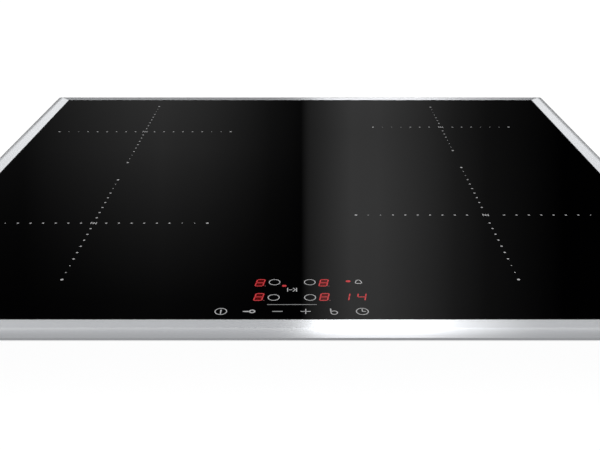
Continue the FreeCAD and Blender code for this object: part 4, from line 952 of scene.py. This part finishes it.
class HOB_OT_stage(bpy.types.Operator):
    """Pale floor, soft studio light and the camera"""

    bl_idname = "hob.stage"
    bl_label = "Stage"

    def execute(self, context):
        chosen = context.scene.hob_stage
        self.floor(context.scene, chosen)
        self.light(context.scene, chosen)
        self.trim_lights(context.scene, chosen)
        self.camera(context.scene, chosen)
        context.scene.view_settings.view_transform = "Standard"
        return {"FINISHED"}

    def floor(self, scene, chosen):
        bm = bmesh.new()
        bmesh.ops.create_grid(bm, x_segments=24, y_segments=24, size=FLOOR_REACH)
        mesh = bpy.data.meshes.new("floor")
        bm.to_mesh(mesh)
        bm.free()
        floor = bpy.data.objects.new("floor", mesh)
        scene.collection.objects.link(floor)
        material, wires, shader = new_material("pale_floor", Roughness=0.9, Specular_IOR_Level=0.0)
        wires.feed(shader.inputs["Base Color"], chosen.floor_colour)
        wires.feed(shader.inputs["Emission Color"], (1.0, 1.0, 1.0))
        seen = wires.node("LightPath").outputs["Is Camera Ray"]
        glow = wires.between(seen, 0.0, 1.0, chosen.floor_bounce, chosen.floor_glow, smooth=False)
        wires.feed(shader.inputs["Emission Strength"], glow)
        mesh.materials.append(material)

    def light(self, scene, chosen):
        """A dark studio with soft light overhead and two soft bands that the glass mirrors.

        across and up are a ray's slopes from the camera's line of sight as the glass mirrors it."""
        world = bpy.data.worlds.new("studio")
        scene.world = world
        world.use_nodes = True
        world.node_tree.nodes.clear()
        wires = Wires(world.node_tree)
        ray = wires.node("TexCoord").outputs["Generated"]
        fall, rise = math.cos(chosen.pitch), math.sin(chosen.pitch)
        ahead = wires.math("MAXIMUM", wires.vector("DOT_PRODUCT", ray, (0.0, fall, rise)), 0.02)
        sideways = wires.node("SeparateXYZ", Vector=ray).outputs[0]
        across = wires.math("DIVIDE", sideways, ahead)
        up = wires.math("DIVIDE", wires.vector("DOT_PRODUCT", ray, (0.0, -rise, fall)), ahead)
        height = wires.node("SeparateXYZ", Vector=ray).outputs[2]
        left = wires.ramp(across, LEFT_BAND, -0.36, 0.36)
        left = wires.math("MULTIPLY", left, wires.ramp(up, LEFT_FADE, -0.2, 0.16))
        right = wires.ramp(across, RIGHT_BAND, -0.36, 0.36)
        right = wires.math("MULTIPLY", right, wires.ramp(up, RIGHT_GAIN, -0.2, 0.16))
        bands = wires.math("ADD", left, right)
        facing = wires.between(ahead, 0.1, 0.35)
        wall = wires.math("MULTIPLY", wires.ramp(sideways, UPPER_WALL, -0.6, 0.6), WALL_LEVEL)
        wall = wires.math("MULTIPLY", wall, wires.ramp(height, WALL_FADE, 0.5, 1.0))
        upper = wires.between(up, 0.124, 0.142)
        fronts = wires.math("ADD", wires.math("MULTIPLY", bands, wires.math("SUBTRACT", 1.0, upper)),
                            wires.math("MULTIPLY", wall, upper))
        dome = wires.between(height, 0.4, 0.75, 0.07, chosen.overhead)
        room = wires.math("ADD", wires.math("MULTIPLY", fronts, facing),
                          wires.math("MULTIPLY", dome, wires.math("SUBTRACT", 1.0, facing)))
        seen = wires.node("LightPath").outputs["Is Camera Ray"]
        plain = wires.node("Background", Color=(1.0, 1.0, 1.0), Strength=1.0)
        lit = wires.node("Background", Color=(1.0, 1.0, 1.0))
        wires.feed(lit.inputs["Strength"], room)
        choice = wires.node("MixShader")
        wires.feed(choice.inputs[0], seen)
        wires.feed(choice.inputs[1], lit.outputs[0])
        wires.feed(choice.inputs[2], plain.outputs[0])
        wires.node("OutputWorld", Surface=choice.outputs[0])

    def trim_lights(self, scene, chosen):
        """A soft light behind each side trim, which only that trim takes up."""
        for side, sign in (("left", -1), ("right", 1)):
            data = bpy.data.lights.new(f"{side}_trim_light", "AREA")
            data.shape = "RECTANGLE"
            data.size, data.size_y = TRIM_LIGHT_SIZE
            data.energy = chosen.trim_light
            lamp = bpy.data.objects.new(f"{side}_trim_light", data)
            towards = Vector((sign * TRIM_LIGHT_WAY[0], *TRIM_LIGHT_WAY[1:])).normalized()
            lamp.location = Vector((sign * TRIM_X, 0, TRIM_Z)) + towards * TRIM_LIGHT_RANGE
            lamp.rotation_euler = towards.to_track_quat("Z", "Y").to_euler()
            scene.collection.objects.link(lamp)
            only = bpy.data.collections.new(f"{side}_trim_only")
            only.objects.link(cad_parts[f"trim_{side}"])
            lamp.light_linking.receiver_collection = only

    def camera(self, scene, chosen):
        data = bpy.data.cameras.new("camera")
        data.lens, data.sensor_width, data.shift_x = chosen.lens, SENSOR, SHIFT
        camera = bpy.data.objects.new("camera", data)
        camera.location = CAMERA_PLACE
        camera.rotation_euler = (math.pi / 2 - chosen.pitch, 0, 0)
        scene.collection.objects.link(camera)
        scene.camera = camera


OPERATORS = (HOB_OT_glass, HOB_OT_trims, HOB_OT_zone_marks, HOB_OT_touch_symbols, HOB_OT_displays,
             HOB_OT_windings, HOB_OT_springs, HOB_OT_case, HOB_OT_inner_parts, HOB_OT_stage)
SETTINGS = {"hob_glass": HobGlassSettings, "hob_display": HobDisplaySettings,
            "hob_metal": HobMetalSettings, "hob_stage": HobStageSettings}


class HOB_PT_panel(bpy.types.Panel):
    """The hob's steps and settings"""

    bl_label = "Induction hob"
    bl_idname = "HOB_PT_panel"
    bl_space_type = "VIEW_3D"
    bl_region_type = "UI"
    bl_category = "Hob"

    def draw(self, context):
        for name, group in SETTINGS.items():
            box = self.layout.box()
            for key in group.__annotations__:
                box.prop(getattr(context.scene, name), key)
        for operator in OPERATORS:
            self.layout.operator(operator.bl_idname)


def register():
    for group in (*SETTINGS.values(), *OPERATORS, HOB_PT_panel):
        bpy.utils.register_class(group)
    for name, group in SETTINGS.items():
        setattr(bpy.types.Scene, name, bpy.props.PointerProperty(type=group))


def unregister():
    for name in SETTINGS:
        delattr(bpy.types.Scene, name)
    for group in (HOB_PT_panel, *reversed(OPERATORS), *SETTINGS.values()):
        bpy.utils.unregister_class(group)


def main():
    register()
    make_grain_group()
    make_speckle_group()
    make_spangle_group()
    bpy.ops.hob.glass()
    bpy.ops.hob.trims()
    bpy.ops.hob.zone_marks()
    bpy.ops.hob.touch_symbols()
    bpy.ops.hob.displays()
    bpy.ops.hob.windings()
    bpy.ops.hob.springs()
    bpy.ops.hob.case()
    bpy.ops.hob.inner_parts()
    bpy.ops.hob.stage()


if __name__ == "__main__":
    main()
